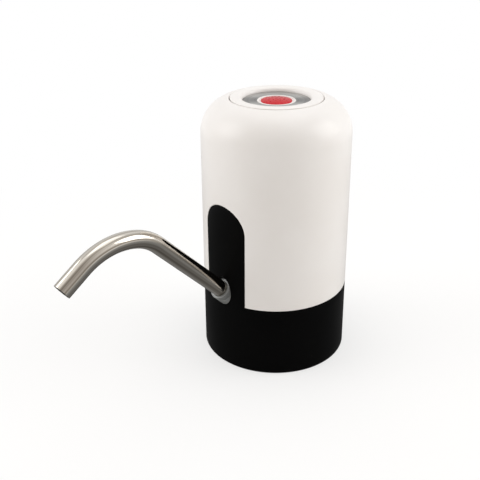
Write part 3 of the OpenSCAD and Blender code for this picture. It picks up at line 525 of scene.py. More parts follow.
@dataclass(frozen=True)
class Clear(Finish):
    """Clear or milky plastic or silicone."""

    rough: Point2 = (0.1, 0.25)
    pass_light: float = 0.6
    scale: float = 500.0
    drift: float = 60.0
    bend: float = 1.43

    def dress(self, sheet: NodeSheet, spot: NodeSocket) -> Node:
        """Adds grain, drifting tone and a partly see-through shader.

        Args:
            sheet: Sheet of the material.
            spot: Place on the piece.

        Returns:
            The shader.
        """
        low, high = self.rough
        grain = sheet.group(moulded_grain(), {"Vector": spot, "Scale": self.scale, "Low": low, "High": high})
        return sheet.shader({
            "Base Color": self.tint(sheet, spot, self.drift), "Roughness": grain["Roughness"],
            "Transmission Weight": self.pass_light, "IOR": self.bend})


class Draw(Enum):
    """Direction that the streaks of a metal run in."""

    ALONG = "along"
    ROUND = "round"
    UPRIGHT = "upright"


@dataclass(frozen=True)
class Metal(Finish):
    """Bare metal with the marks of how it was drawn, spun or plated, and painted reflections where set: dark
    fans on a spun disc, dark bands along the spout.
    """

    rough: Point2 = (0.2, 0.34)
    draw: Draw = Draw.UPRIGHT
    across: float = 2500.0
    along: float = 200.0
    relief: float = 0.04
    depth: float = 0.1 * MM
    # Painted reflection: dark fans mixed into the base colour, at a fixed turn equal to the camera's azimuth.
    painted_fan_strength: float = 0.0
    painted_fan_turn: float = math.radians(43.5)
    painted_fan_tone: str = "4a4b4c"
    # Turns the pattern round the spout, which places its dark painted reflection bands.
    painted_band_shift: float = 0.0

    def streak_spot(self, sheet: NodeSheet, spot: NodeSocket) -> NodeSocket:
        """Coordinate whose third part runs along the streaks.

        Args:
            sheet: Sheet of the material.
            spot: Place on the piece.

        Returns:
            The coordinate.
        """
        if self.draw is Draw.UPRIGHT:
            return spot
        if self.draw is Draw.ROUND:
            flat = sheet.vector_math("MULTIPLY", spot, (1.0, 1.0, 0.0)).outputs[0]
            return sheet.combine(sheet.vector_math("LENGTH", flat).outputs["Value"])
        turn, run = (sheet.add("ShaderNodeAttribute", attribute_name=name).outputs["Fac"]
                     for name in ("around", "along"))
        wide = sheet.math("MULTIPLY", turn, 2 * math.pi)
        wrapped = sheet.combine(sheet.math("COSINE", wide), sheet.math("SINE", wide), run)
        return sheet.vector_math("ADD", wrapped, (self.painted_band_shift, 0.0, 0.0)).outputs[0]

    def painted_fan_share(self, sheet: NodeSheet, spot: NodeSocket) -> NodeSocket:
        """Share of the painted dark fans, a painted reflection in place of the dark sectors that a spun disc
        shows to both sides.

        Args:
            sheet: Sheet of the material.
            spot: Place on the piece.

        Returns:
            The share.
        """
        parts = sheet.add("ShaderNodeSeparateXYZ", {0: spot}).outputs
        turn = sheet.math("ARCTAN2", parts[1], parts[0])
        wave = sheet.math("COSINE", sheet.math("MULTIPLY_ADD", turn, 2.0, -2 * self.painted_fan_turn))
        return sheet.remap(wave, low=0.45, high=0.98, to_high=self.painted_fan_strength)

    def dress(self, sheet: NodeSheet, spot: NodeSocket) -> Node:
        """Adds streaks, tone bands that are partly painted reflection, the painted dark fans where they are
        set, and the metal's shader.

        Args:
            sheet: Sheet of the material.
            spot: Place on the piece.

        Returns:
            The shader.
        """
        marks = sheet.group(long_streaks(), {"Vector": self.streak_spot(sheet, spot), "Across": self.across,
                                             "Along": self.along})
        # Broad bands between tone and shade: on the spout these are partly drawn-steel streaks, partly
        # painted reflection.
        share = sheet.remap(marks["Broad"], low=0.35, high=0.65)
        color = sheet.mix(share, linear(self.tone), linear(self.shade))
        # Painted reflection: the dark fans darken the base colour at two opposite sides.
        if self.painted_fan_strength > 0:
            color = sheet.mix(self.painted_fan_share(sheet, spot), color, linear(self.painted_fan_tone))
        low, high = self.rough
        rough = sheet.remap(marks["Fine"], low=0.3, high=0.7, to_low=low, to_high=high)
        return sheet.shader({"Base Color": color, "Roughness": rough, "Metallic": 1.0,
                             "Normal": sheet.bump(marks["Fine"], self.relief, self.depth)})


@dataclass(frozen=True)
class Wound(Finish):
    """Enamelled copper wire laid in turns."""

    pitch: float = 0.45 * MM
    wave_length: float = 0.314
    uneven: float = 0.4
    relief: float = 0.6
    depth: float = 0.2 * MM

    def dress(self, sheet: NodeSheet, spot: NodeSocket) -> Node:
        """Adds the turns of wire as bands with a relief.

        Args:
            sheet: Sheet of the material.
            spot: Place on the piece.

        Returns:
            The shader.
        """
        values = {"Vector": spot, "Scale": self.wave_length / self.pitch, "Distortion": self.uneven}
        turns = sheet.add("ShaderNodeTexWave", values, bands_direction="Z").outputs[1]
        color = sheet.mix(turns, linear(self.shade), linear(self.tone))
        return sheet.shader({"Base Color": color, "Metallic": 0.9, "Roughness": 0.35,
                             "Normal": sheet.bump(turns, self.relief, self.depth)})


@dataclass(frozen=True)
class Board(Finish):
    """Circuit board with traces under its solder mask."""

    relief: float = 0.2
    depth: float = 0.1 * MM

    def dress(self, sheet: NodeSheet, spot: NodeSocket) -> Node:
        """Adds traces as a grid of bricks under the mask.

        Args:
            sheet: Sheet of the material.
            spot: Place on the piece.

        Returns:
            The shader.
        """
        turn = sheet.add("ShaderNodeMapping", {"Vector": spot, "Rotation": (QUARTER, 0.0, 0.0)})
        trace = sheet.add("ShaderNodeTexBrick", {
            "Vector": turn.outputs[0], "Color1": linear(self.tone), "Color2": linear(self.tone),
            "Mortar": linear(self.shade), "Scale": 260.0, "Mortar Size": 0.05, "Bias": 0.0}).outputs
        return sheet.shader({"Base Color": trace[0], "Roughness": 0.35, "Coat Weight": 0.3,
                             "Normal": sheet.bump(trace[1], self.relief, self.depth)})


FINISHES: dict[str, Finish] = {finish.name: finish for finish in (
    Moulded("white_shell", "f2efec", "eeeae6", (0.28, 0.34), 1400.0, 0.012),
    Moulded("black_base", "060606", "080808", (0.38, 0.5), 1600.0, specular=0.05),
    # The spout's dark shade bands are partly drawn-steel streaks, partly painted reflection.
    Metal("spout_steel", "e2dcd2", "8a8175", (0.06, 0.15), Draw.ALONG, 16.0, 25.0, 0.02, painted_band_shift=5.2),
    Moulded("collar_rubber", "868887", "747675", (0.24, 0.36), 1500.0, 0.08, 0.5),
    Clear("clear_silicone", "e4e5e0", "d4d6d0", (0.3, 0.45), 0.35),
    Moulded("black_rubber", "1b1b1c", "232324", (0.55, 0.7), 1200.0, 0.12),
    # The silver plate's dark fans are painted reflection.
    Metal("silver_plate", "c2c1be", "a9a8a6", (0.26, 0.4), Draw.ROUND, 5200.0, 1.0, 0.06, painted_fan_strength=0.6),
    Moulded("red_lens", "d01a26", "b8121e", (0.24, 0.34), 700.0, 0.02, specular=0.12),
    Clear("clear_plastic", "f2f2ee", "e6e6e0", (0.12, 0.2), 0.7),
    Moulded("pump_plastic", "38383a", "303032", (0.4, 0.52), 1100.0, 0.08),
    Moulded("pale_plastic", "e4e0d4", "d9d4c6", (0.35, 0.48), 1000.0, 0.06),
    Moulded("frame_plastic", "55585c", "4d5054", (0.42, 0.55), 1000.0, 0.08),
    Metal("motor_steel", "a9adb2", "9a9ea4", (0.25, 0.4), across=1400.0, along=40.0),
    Moulded("magnet", "505055", "46464b", (0.5, 0.65), 2200.0, 0.12),
    Metal("screw_steel", "b8bcc2", "a6aab0"),
    Wound("copper_wire", "b5651d", "8a4a14"),
    Metal("brass", "c8a24a", "b48c3a", (0.22, 0.36)),
    Metal("nickel", "c9c9c7", "b6b6b4"),
    Moulded("cell_wrap", "2f6fb0", "2a66a4", (0.25, 0.34), 700.0, 0.03, 0.3),
    Board("board_green", "1f6b3a", "2f8450"),
    Moulded("chip_black", "26282b", "1f2123", (0.5, 0.62), 2600.0, 0.1),
    Moulded("wire_red", "b02020", "9e1c1c", (0.38, 0.48), 1500.0, 0.04),
    Moulded("wire_black", "202020", "191919", (0.38, 0.48), 1500.0, 0.04),
    Moulded("wire_yellow", "d0b020", "bc9e1c", (0.38, 0.48), 1500.0, 0.04),
)}


@dataclass(frozen=True)
class BodyOutline:
    """Drafted side wall that rolls over into the dome."""

    base_r: float = 37.0 * MM
    top_z: float = 131.5 * MM
    shoulder_r: float = 16.5 * MM
    draft: float = math.radians(0.4)

    @property
    def shoulder_z(self) -> float:
        """Height of the rolled shoulder's centre."""
        return self.top_z - self.shoulder_r

    @property
    def shoulder_x(self) -> float:
        """Distance of the rolled shoulder's centre from the axis."""
        return self.wall_r(self.shoulder_z, self.shoulder_r)

    def wall_r(self, z: float, depth: float = 0.0) -> float:
        """Radius of the side wall at a height, at a depth under its outside."""
        return self.base_r - z * math.tan(self.draft) - depth / math.cos(self.draft)

    def dome(self, turn: float, depth: float = 0.0) -> Point2:
        """Radius and height on the shoulder at an angle above the horizontal."""
        r = self.shoulder_r - depth
        return self.shoulder_x + r * math.cos(turn), self.shoulder_z + r * math.sin(turn)

    def dome_turn(self, radius: float, depth: float = 0.0) -> float:
        """Angle at which the shoulder has a given radius."""
        return math.acos((radius - self.shoulder_x) / (self.shoulder_r - depth))

    def dome_arc(self, start: float, end: float, steps: int, depth: float = 0.0) -> list[Point2]:
        """Points along the shoulder between two angles."""
        return [self.dome(turn, depth) for turn in spread(start, end, steps)]


@dataclass(frozen=True)
class FrontArch:
    """Outline of the front panel: upright sides under a half circle."""

    half_w: float = 12.8 * MM
    top_z: float = 86.5 * MM
    steps: int = 56

    @property
    def spring_z(self) -> float:
        """Height at which the half circle starts."""
        return self.top_z - self.half_w

    def height(self, turn: float, grow: float) -> float:
        """Height of the outline at an angle from its crown, grown by a margin."""
        return self.spring_z + (self.half_w + grow) * math.cos(turn)


@dataclass(frozen=True)
class RearWindow:
    """Charging window with round ends in a shallow dish, and the light's hole above it."""

    straight: float = 2.35 * MM
    end_r: float = 2.65 * MM
    dish_r: float = 4.05 * MM
    dish_depth: float = 0.8 * MM
    z: float = 56.0 * MM
    light_r: float = 1.45 * MM
    light_z: float = 66.0 * MM
    steps: int = 12

    def light_half(self, x: float) -> float:
        """Half height of the light's hole at a distance from the middle."""
        return math.sqrt(max(self.light_r ** 2 - x ** 2, 0.0))


class Facing(Enum):
    """Side of the body that a column stands on."""

    FRONT = "front"
    FLANK = "flank"
    REAR = "rear"


@dataclass(frozen=True)
class Column:
    """One upright line of vertices round the body.

    On a flank, turn is the angle about Z from the spout's side. At the front and the rear the column keeps
    its distance from the middle plane: offset, plus the share of the opening's end radius that turn gives.
    """

    facing: Facing
    turn: float
    offset: float = 0.0

    def x(self, end_r: float) -> float:
        """Distance from the middle plane, for a front or rear column."""
        return self.offset + end_r * math.sin(self.turn)

    def at(self, r: float, end_r: float) -> Point2:
        """Place of the column on a circle.

        Args:
            r: Radius of the circle.
            end_r: End radius of the opening that the column crosses.

        Returns:
            Its X and Y.
        """
        if self.facing is Facing.FLANK:
            return r * math.sin(self.turn), -r * math.cos(self.turn)
        x = self.x(end_r)
        y = math.sqrt(r * r - x * x)
        return x, -y if self.facing is Facing.FRONT else y


@dataclass(frozen=True)
class Layer:
    """One surface of a shell: how far its edge is grown, its window's end radius and its depth."""

    grow: float
    window_r: float
    depth: float


@dataclass
class TurnedShell:
    """Wall of revolution that is woven from upright columns, with openings between them."""

    outline: BodyOutline = field(default_factory=BodyOutline)
    arch: FrontArch = field(default_factory=FrontArch)
    rear: RearWindow = field(default_factory=RearWindow)
    seam_z: float = 36.0 * MM
    wall_steps: int = 8
    flank_steps: int = 64
    edge_round: float = 0.35 * MM
    edge_steps: int = 4

    def __post_init__(self) -> None:
        """Sets up the columns, from the left edge of the arch round to the left flank."""
        rear, arch = self.rear, self.arch
        ahead = math.asin(arch.half_w / self.outline.base_r)
        behind = math.asin((rear.straight + rear.dish_r) / self.outline.base_r)
        front = [Column(Facing.FRONT, t) for t in spread(-QUARTER, QUARTER, arch.steps)]
        right = [Column(Facing.FLANK, t) for t in spread(ahead, math.pi - behind, self.flank_steps)[1:-1]]
        ends = [Column(Facing.REAR, t, rear.straight) for t in spread(QUARTER, 0.0, rear.steps)]
        light = [rear.light_r * math.sin(t) for t in spread(QUARTER, -QUARTER, rear.steps)]
        middle = [Column(Facing.REAR, 0.0, x) for x in light]
        other_ends = [Column(Facing.REAR, -c.turn, -c.offset) for c in reversed(ends)]
        left = [Column(Facing.FLANK, 2 * math.pi - c.turn) for c in reversed(right)]
        self.columns = [*front, *right, *ends, *middle, *other_ends, *left]

    def point(self, column: Column, layer: Layer, z: float) -> Point3:
        """Point of a column on a layer's wall."""
        end_r = self.arch.half_w + layer.grow if column.facing is Facing.FRONT else layer.window_r
        return *column.at(self.outline.wall_r(z, layer.depth), end_r), z

    def under_arch(self, column: Column) -> bool:
        """Whether a column lies inside the arch, clear of its two sides."""
        return column.facing is Facing.FRONT and abs(column.turn) < QUARTER - TINY

    def spans(self, column: Column, layer: Layer) -> list[Span | None]:
        """Heights between which a column has wall; each shell has its own."""
        raise NotImplementedError

    def edge_part(self, column: Column, bands: Bands) -> list[int]:
        """Vertices of a column along the seam and the arch; each shell has its own."""
        raise NotImplementedError

    def edge(self, rows: Sequence[Bands]) -> list[int]:
        """Vertices along the seam, up one side of the arch, over it and down the other side."""
        return [i for column, bands in zip(self.columns, rows) for i in self.edge_part(column, bands)]

    def weave(self, skin: Skin, layer: Layer) -> list[Bands]:
        """Sets the vertices of one layer.

        Args:
            skin: Mesh under construction.
            layer: Surface to set.

        Returns:
            Indices of each column's bands.
        """
        rows = []
        for column in self.columns:
            bands: Bands = []
            last: tuple[int, float] | None = None
            for span in self.spans(column, layer):
                if span is None:
                    bands.append(None)
                    last = None
                    continue
                heights = spread(*span)
                joined = last is not None and abs(last[1] - heights[0]) < TINY
                band = [last[0]] if joined else [skin.add(self.point(column, layer, heights[0]))]
                band += [skin.add(self.point(column, layer, z)) for z in heights[1:]]
                last = band[-1], heights[-1]
                bands.append(band)
            rows.append(bands)
        return rows

    def fill(self, skin: Skin, rows: Sequence[Bands]) -> None:
        """Sets the faces between neighbouring columns of one layer.

        Args:
            skin: Mesh under construction.
            rows: A woven layer.
        """
        for here, there in zip(rows, [*rows[1:], rows[0]]):
            for one, other in zip(here, there):
                if one and other:
                    skin.bridge(one, other)

    def copy_loop(self, skin: Skin, layer: Layer, pick: Callable[[Sequence[Bands]], list[int]]) -> list[int]:
        """Sets the vertices of one loop, as it lies on another layer, and returns their indices."""
        scratch = Skin()
        return [skin.add(scratch.points[i]) for i in pick(self.weave(scratch, layer))]

    def lip(self, skin: Skin, outer: Sequence[Bands], inner: Sequence[Bands], side: int) -> None:
        """Rounds the seam and the arch from the outside to the inside.

        Args:
            skin: Mesh under construction.
            outer: Woven outside.
            inner: Woven inside.
            side: 1 where the wall lies outside the arch, -1 where it lies inside.
        """
        loops = [self.edge(outer)]
        for turn in spread(0.0, QUARTER, self.edge_steps)[1:]:
            layer = Layer(side * self.edge_round * (1 - math.sin(turn)), self.rear.dish_r,
                          self.edge_round * (1 - math.cos(turn)))
            loops.append(self.copy_loop(skin, layer, self.edge))
        skin.chain([*loops, self.edge(inner)], closed=True)

    def sweep(self, skin: Skin, profile: Sequence[Point2], starts: Sequence[int],
              ends: Sequence[int]) -> None:
        """Carries a profile round all columns, between two rows that are there already.

        Args:
            skin: Mesh under construction.
            profile: Radius and height of each point between the two rows.
            starts: First vertex of each column.
            ends: Last vertex of each column.
        """
        lines = []
        for start, end in zip(starts, ends):
            x, y, _ = skin.points[start]
            turn = math.atan2(x, -y)
            made = [skin.add((r * math.sin(turn), -r * math.cos(turn), z)) for r, z in profile]
            lines.append([start, *made, end])
        skin.chain([*lines, lines[0]])


@dataclass
class UpperShell(TurnedShell):
    """White shell with the dome, the arch's opening, the key's opening and the rear window."""

    edge_round: float = 0.6 * MM
    wall: float = 2.2 * MM
    crown_gap: float = 4.0 * MM
    crown_steps: int = 6
    hole_steps: int = 4
    rise_steps: int = 5
    dome_steps: int = 22
    lining_steps: int = 14
    drop_steps: int = 3
    key_hole_r: float = 22.35 * MM
    guide_z: float = 121.8 * MM
    guide_t: float = 1.6 * MM

    @property
    def crown_z(self) -> float:
        """Height above which the wall is whole all round."""
        return self.arch.top_z + self.crown_gap

    def spans(self, column: Column, layer: Layer) -> list[Span | None]:
        """Heights between which a column of the white shell has wall.

        Args:
            column: Column in question.
            layer: Surface in question.

        Returns:
            Bands below the window, below the light, below the arch's spring and below the crown.
        """
        rear, arch, crown = self.rear, self.arch, (self.crown_z, self.crown_steps)
        if self.under_arch(column):
            return [None, None, None, (arch.height(column.turn, layer.grow), *crown)]
        window, light = 0.0, 0.0
        if column.facing is Facing.REAR:
            window = layer.window_r * math.cos(column.turn)
            light = rear.light_half(column.x(layer.window_r))
        return [(self.seam_z + layer.grow, rear.z - window, self.wall_steps),
                (rear.z + window, rear.light_z - light, self.hole_steps),
                (rear.light_z + light, arch.spring_z, self.hole_steps), (arch.spring_z, *crown)]

    def edge_part(self, column: Column, bands: Bands) -> list[int]:
        """Vertices of a column along the seam and the arch.

        Args:
            column: Column in question.
            bands: Its woven bands.

        Returns:
            Indices in order.
        """
        if self.under_arch(column):
            return bands[3][:1]
        if column.facing is not Facing.FRONT:
            return bands[0][:1]
        side = list(dict.fromkeys([*bands[0], *bands[1], *bands[2]]))
        return side if column.turn < 0 else side[::-1]

    def ring(self, rows: Sequence[Bands], low: int, reach: float) -> list[int]:
        """Vertices round a hole of the rear.

        Args:
            rows: A woven layer.
            low: Band below the hole.
            reach: How far from the middle the hole's columns stand.

        Returns:
            Indices in order.
        """
        inside = [bands for column, bands in zip(self.columns, rows) if column.facing is Facing.REAR
                  and (reach <= 0 or (column.turn == 0 and abs(column.offset) < reach + TINY))]
        below = [bands[low][-1] for bands in inside]
        above = [bands[low + 1][0] for bands in inside]
        return list(dict.fromkeys([*below, *above[::-1]]))

    def window_ring(self, rows: Sequence[Bands]) -> list[int]:
        """Vertices round the charging window."""
        return self.ring(rows, 0, 0.0)

    def light_ring(self, rows: Sequence[Bands]) -> list[int]:
        """Vertices round the light's hole."""
        return self.ring(rows, 1, self.rear.light_r)

    def dome_profile(self) -> list[Point2]:
        """Outline from the crown over the dome, into the key's guide and back down the inside.

        Returns:
            Radius and height of each point.
        """
        body, wall = self.outline, self.wall
        rim = self.key_hole_r + self.guide_t
        arc = body.dome_arc(body.draft, body.dome_turn(self.key_hole_r), self.dome_steps)
        lining = body.dome_arc(body.dome_turn(rim, wall), body.draft, self.lining_steps, wall)
        rise = [(body.wall_r(z), z) for z in spread(self.crown_z, arc[0][1], self.rise_steps)]
        drop = [(body.wall_r(z, wall), z) for z in spread(lining[-1][1], self.crown_z, self.drop_steps)]
        corners = [(*spot, 0.0) for spot in (*rise, *arc[1:-1])]
        corners += [(*arc[-1], self.edge_round), (self.key_hole_r, self.guide_z, 0.0),
                    (rim, self.guide_z, 0.0)]
        corners += [(*spot, 0.0) for spot in (*lining, *drop[1:])]
        return rounded(corners)[1:-1]

    def build(self) -> Object:
        """Builds the white shell.

        Returns:
            The piece.
        """
        rear, skin = self.rear, Skin()
        outer = self.weave(skin, Layer(self.edge_round, rear.dish_r, 0.0))
        inner = self.weave(skin, Layer(0.0, rear.end_r, self.wall))
        self.fill(skin, outer)
        self.fill(skin, inner)
        self.lip(skin, outer, inner, 1)
        dish = [self.copy_loop(skin, Layer(0.0, r, rear.dish_depth), self.window_ring)
                for r in (rear.dish_r, rear.end_r)]
        skin.chain([self.window_ring(outer), *dish, self.window_ring(inner)], closed=True)
        skin.bridge(self.light_ring(outer), self.light_ring(inner), closed=True)
        crown = [[bands[3][-1] for bands in rows] for rows in (outer, inner)]
        self.sweep(skin, self.dome_profile(), *crown)
        return shown("white_shell", skin.mesh("white_shell"), "housing", "white_shell", "upper_shell")


@dataclass
class BaseShell(TurnedShell):
    """Black base with the neck socket and the arched front panel."""

    panel_t: float = 3.52 * MM
    panel_steps: int = 12
    foot_round: float = 0.8 * MM
    floor_z: float = 27.0 * MM
    socket_r: float = 29.9 * MM
    socket_round: float = 0.5 * MM
    seat_r: float = 29.3 * MM
    seat_round: float = 0.15 * MM
    mouth_z: float = 12.0 * MM
    ceiling_z: float = 24.0 * MM
    ceiling_round: float = 0.6 * MM
    nozzle_hole_r: float = 5.05 * MM

    def spans(self, column: Column, layer: Layer) -> list[Span | None]:
        """Heights between which a column of the base has wall.

        Args:
            column: Column in question.
            layer: Surface in question.

        Returns:
            Bands below the seam and inside the arch.
        """
        foot = self.floor_z if layer.depth == self.panel_t else self.foot_round
        seam = self.seam_z + layer.grow
        if column.facing is Facing.FRONT:
            top = self.arch.height(column.turn, layer.grow)
            return [(foot, seam, self.wall_steps), (seam, top, self.panel_steps)]
        return [(foot, seam, self.wall_steps), None]

    def edge_part(self, column: Column, bands: Bands) -> list[int]:
        """Vertices of a column along the top of the base and round the panel.

        Args:
            column: Column in question.
            bands: Its woven bands.

        Returns:
            Indices in order.
        """
        if self.under_arch(column):
            return bands[1][-1:]
        if column.facing is not Facing.FRONT:
            return bands[0][-1:]
        return bands[1] if column.turn < 0 else bands[1][::-1]

    def socket_profile(self) -> list[Point2]:
        """Outline from the outside's foot under the rim, up the socket, across the floor and out again.

        Returns:
            Radius and height of each point.
        """
        body, start = self.outline, self.foot_round * 2
        corners = [(body.wall_r(start), start, 0.0), (body.wall_r(0.0), 0.0, self.foot_round),
                   (self.socket_r, 0.0, self.socket_round), (self.socket_r, self.mouth_z, 0.0),
                   (self.seat_r, self.mouth_z, self.seat_round),
                   (self.seat_r, self.ceiling_z, self.ceiling_round),
                   (self.nozzle_hole_r, self.ceiling_z, 0.0), (self.nozzle_hole_r, self.floor_z, 0.0),
                   (body.wall_r(self.floor_z, self.panel_t), self.floor_z, 0.0)]
        return rounded(corners)[2:-1]

    def build(self, bore: Mesh) -> Object:
        """Builds the base.

        Args:
            bore: Solid that clears the way for the spout's collar.

        Returns:
            The piece.
        """
        skin = Skin()
        outer = self.weave(skin, Layer(-self.edge_round, self.rear.dish_r, 0.0))
        inner = self.weave(skin, Layer(0.0, self.rear.dish_r, self.panel_t))
        self.fill(skin, outer)
        self.fill(skin, inner)
        self.lip(skin, outer, inner, -1)
        foot = [[bands[0][0] for bands in rows] for rows in (outer, inner)]
        self.sweep(skin, self.socket_profile(), *foot)
        mesh = pierced(skin.mesh("black_base"), bore)
        return shown("black_base", mesh, "housing", "black_base", "base_shell")


def growth_tree(name: str, inputs: dict[str, str]) -> tuple[NodeSheet, NodeOutputs]:
    """Starts a tree of geometry nodes.

    Args:
        name: Name of the tree.
        inputs: Kind of each named input, of which the first is the geometry.

    Returns:
        The sheet to add nodes on, and the sockets that give the inputs.
    """
    tree = bpy.data.node_groups.new(name, "GeometryNodeTree")
    for label, kind in inputs.items():
        tree.interface.new_socket(label, in_out="INPUT", socket_type=f"NodeSocket{kind}")
    tree.interface.new_socket("Result", in_out="OUTPUT", socket_type="NodeSocketGeometry")
    sheet = NodeSheet(tree)
    return sheet, sheet.add("NodeGroupInput").outputs


def end_growth(sheet: NodeSheet, shape: NodeSocket, finish: NodeSocket) -> NodeTree:
    """Ends a tree of geometry nodes with plain geometry in its finish.

    Args:
        sheet: Sheet of the tree.
        shape: Socket that gives the geometry.
        finish: Socket that gives the material.

    Returns:
        The tree.
    """
    real = sheet.add("GeometryNodeRealizeInstances", {0: shape})
    clad = sheet.add("GeometryNodeSetMaterial", {"Geometry": real.outputs[0], "Material": finish})
    sheet.add("NodeGroupOutput", {0: clad.outputs[0]})
    return sheet.tree


def grown(seat: Object, tree: NodeTree, values: dict[str, object]) -> Mesh:
    """Runs geometry nodes on an object and keeps the result as a plain mesh.

    Args:
        seat: Object that carries the modifier; it is removed afterwards.
        tree: Geometry nodes to run.
        values: Value of each named input.

    Returns:
        The mesh.
    """
    modifier = seat.modifiers.new(tree.name, "NODES")
    modifier.node_group = tree
    sockets = {item.name: item.identifier for item in tree.interface.items_tree if item.in_out == "INPUT"}
    for label, value in values.items():
        modifier[sockets[label]] = value
    mesh = settled(seat)
    seat.modifiers.clear()
    bpy.data.objects.remove(seat)
    mesh.shade_smooth()
    return mesh


@dataclass
class Spout:
    """Bent steel tube and the soft collar that it turns in."""

    root: Point3 = (0.0, -36.70818 * MM, 41.8 * MM)
    tilt: float = math.radians(45.4)
    tube_r: float = 4.0 * MM
    tube_wall: float = 0.5 * MM
    inside: float = 8.7 * MM
    run: float = 53.2 * MM
    bends: tuple[Point2, ...] = ((25.6 * MM, math.radians(27.8)), (32.5 * MM, math.radians(51.0)))
    tip: float = 12.0 * MM
    run_steps: int = 24
    bend_steps: int = 28
    tip_steps: int = 6
    sides: int = 64
    end_ease: float = 0.06 * MM
    ease_steps: int = 2
    ease_turn: float = math.radians(50.0)
    collar_r: float = 5.3 * MM
    collar_bore: float = 4.05 * MM
    collar_in: float = 9.0 * MM
    collar_out: float = 2.6 * MM
    collar_sides: int = 96
    lip_w: float = 0.9 * MM
    lip_round: float = 0.35 * MM
    mouth_round: float = 0.2 * MM
    groove_low: float = 3.2 * MM
    groove_depth: float = 0.55 * MM
    groove_round: float = 0.1 * MM
    ring_count: int = 2
    ring_pitch: float = 1.0 * MM
    ring_r: float = 0.3 * MM
    ring_low: float = 2.55 * MM
    ring_sides: int = 12
    bore_r: float = 5.35 * MM
    bore_reach: float = 20.0 * MM

    @property
    def place(self) -> Matrix:
        """Frame at the root: Z runs out along the tube and X to the outside of the bend."""
        return (Matrix.Translation(self.root) @ Matrix.Rotation(QUARTER, 4, "Z")
                @ Matrix.Rotation(self.tilt - QUARTER, 4, "Y"))

    def path(self) -> list[Vector]:
        """Middle line of the tube.

        Returns:
            Points from the inner end to the tip.
        """
        points = [Vector((0.0, 0.0, z)) for z in spread(-self.inside, self.run, self.run_steps)]
        here, heading = points[-1], 0.0
        for r, angle in self.bends:
            centre = here - Vector((math.cos(heading), 0.0, math.sin(heading))) * r
            for out in spread(heading, heading + angle, self.bend_steps)[1:]:
                points.append(centre + Vector((math.cos(out), 0.0, math.sin(out))) * r)
            here, heading = points[-1], heading + angle
        ahead = Vector((-math.sin(heading), 0.0, math.cos(heading)))
        points += [here + ahead * s for s in spread(0.0, self.tip, self.tip_steps)[1:]]
        return [self.place @ p for p in points]

    def tube_tree(self) -> NodeTree:
        """Geometry nodes that sweep a tube along a path and keep the place along and around it.

        Returns:
            The tree.
        """
        inputs = {"Path": "Geometry", "Radius": "Float", "Sides": "Int", "Finish": "Material"}
        sheet, given = growth_tree("swept_tube", inputs)
        spot = sheet.add("GeometryNodeSplineParameter").outputs
        along = sheet.marked(given["Path"], "along", spot["Length"])
        around = sheet.marked(sheet.circle(given["Sides"], given["Radius"]), "around", spot["Factor"])
        return end_growth(sheet, sheet.swept(along, around), given["Finish"])

    def build_tube(self) -> Object:
        """Builds the tube with its wall and its eased ends.

        Returns:
            The piece.
        """
        curve = bpy.data.curves.new("spout_path", "CURVE")
        curve.dimensions = "3D"
        spline = curve.splines.new("POLY")
        points = self.path()
        spline.points.add(len(points) - 1)
        for point, spot in zip(spline.points, points):
            point.co = (*spot, 1.0)
        mesh = grown(placed("spout_path", curve), self.tube_tree(), {
            "Radius": self.tube_r, "Sides": self.sides, "Finish": FINISHES["spout_steel"].material()})
        piece = shown("spout_tube", mesh, "spout_tube", "spout_steel", "spout")
        wall = piece.modifiers.new("wall", "SOLIDIFY")
        wall.thickness, wall.offset = self.tube_wall, -1.0
        ease = piece.modifiers.new("eased_ends", "BEVEL")
        ease.width, ease.segments, ease.limit_method = self.end_ease, self.ease_steps, "ANGLE"
        ease.angle_limit, ease.harden_normals = self.ease_turn, True
        return piece

    def ring_tree(self) -> NodeTree:
        """Geometry nodes that set round beads along the collar.

        Returns:
            The tree.
        """
        sizes = dict.fromkeys(("First", "Pitch", "Ring Radius", "Bead Radius"), "Float")
        inputs = {"Start": "Geometry", "Count": "Int", **sizes, "Finish": "Material"}
        sheet, given = growth_tree("collar_beads", inputs)
        first, step = (sheet.add("ShaderNodeCombineXYZ", {2: given[label]}).outputs[0]
                       for label in ("First", "Pitch"))
        values = {"Count": given["Count"], "Start Location": first, "Offset": step}
        line = sheet.add("GeometryNodeMeshLine", values).outputs[0]
        hoop = sheet.circle(self.collar_sides, given["Ring Radius"])
        bead = sheet.circle(self.ring_sides, given["Bead Radius"])
        values = {"Points": line, "Instance": sheet.swept(hoop, bead)}
        rings = sheet.add("GeometryNodeInstanceOnPoints", values).outputs[0]
        return end_growth(sheet, rings, given["Finish"])

    def bore(self) -> Mesh:
        """Makes the solid that clears the way for the collar.

        Returns:
            The mesh, in place.
        """
        low, high, r = -self.collar_in, self.bore_reach, self.bore_r
        outline = [(0.0, low), (r, low), (r, high), (0.0, high)]
        return turned("spout_bore", outline, self.collar_sides, self.place)

    def build_collar(self) -> Object:
        """Builds the collar with its beads.

        Returns:
            The collar.
        """
        low, top = -self.collar_in, self.collar_out
        groove, lip, neck_r = top - self.groove_low, top - self.lip_w, self.collar_r - self.groove_depth
        corners = [(self.collar_bore, low, 0.0), (self.collar_r, low, self.mouth_round),
                   (self.collar_r, groove, self.groove_round), (neck_r, groove, 0.0), (neck_r, lip, 0.0),
                   (self.collar_r, lip, self.groove_round), (self.collar_r, top, self.lip_round),
                   (self.collar_bore, top, self.mouth_round), (self.collar_bore, low / 2, 0.0)]
        collar = shown("collar", turned("collar", rounded(corners), self.collar_sides, self.place), "housing",
                       "collar_rubber", "spout_collar")
        mesh = grown(placed("collar_beads", bpy.data.meshes.new("collar_beads")), self.ring_tree(), {
            "Count": self.ring_count, "First": top - self.ring_low, "Pitch": self.ring_pitch,
            "Ring Radius": self.collar_r - self.ring_r, "Bead Radius": self.ring_r,
            "Finish": FINISHES["collar_rubber"].material()})
        mesh.transform(self.place)
        shown("collar_beads", mesh, "housing", "collar_rubber")
        return collar


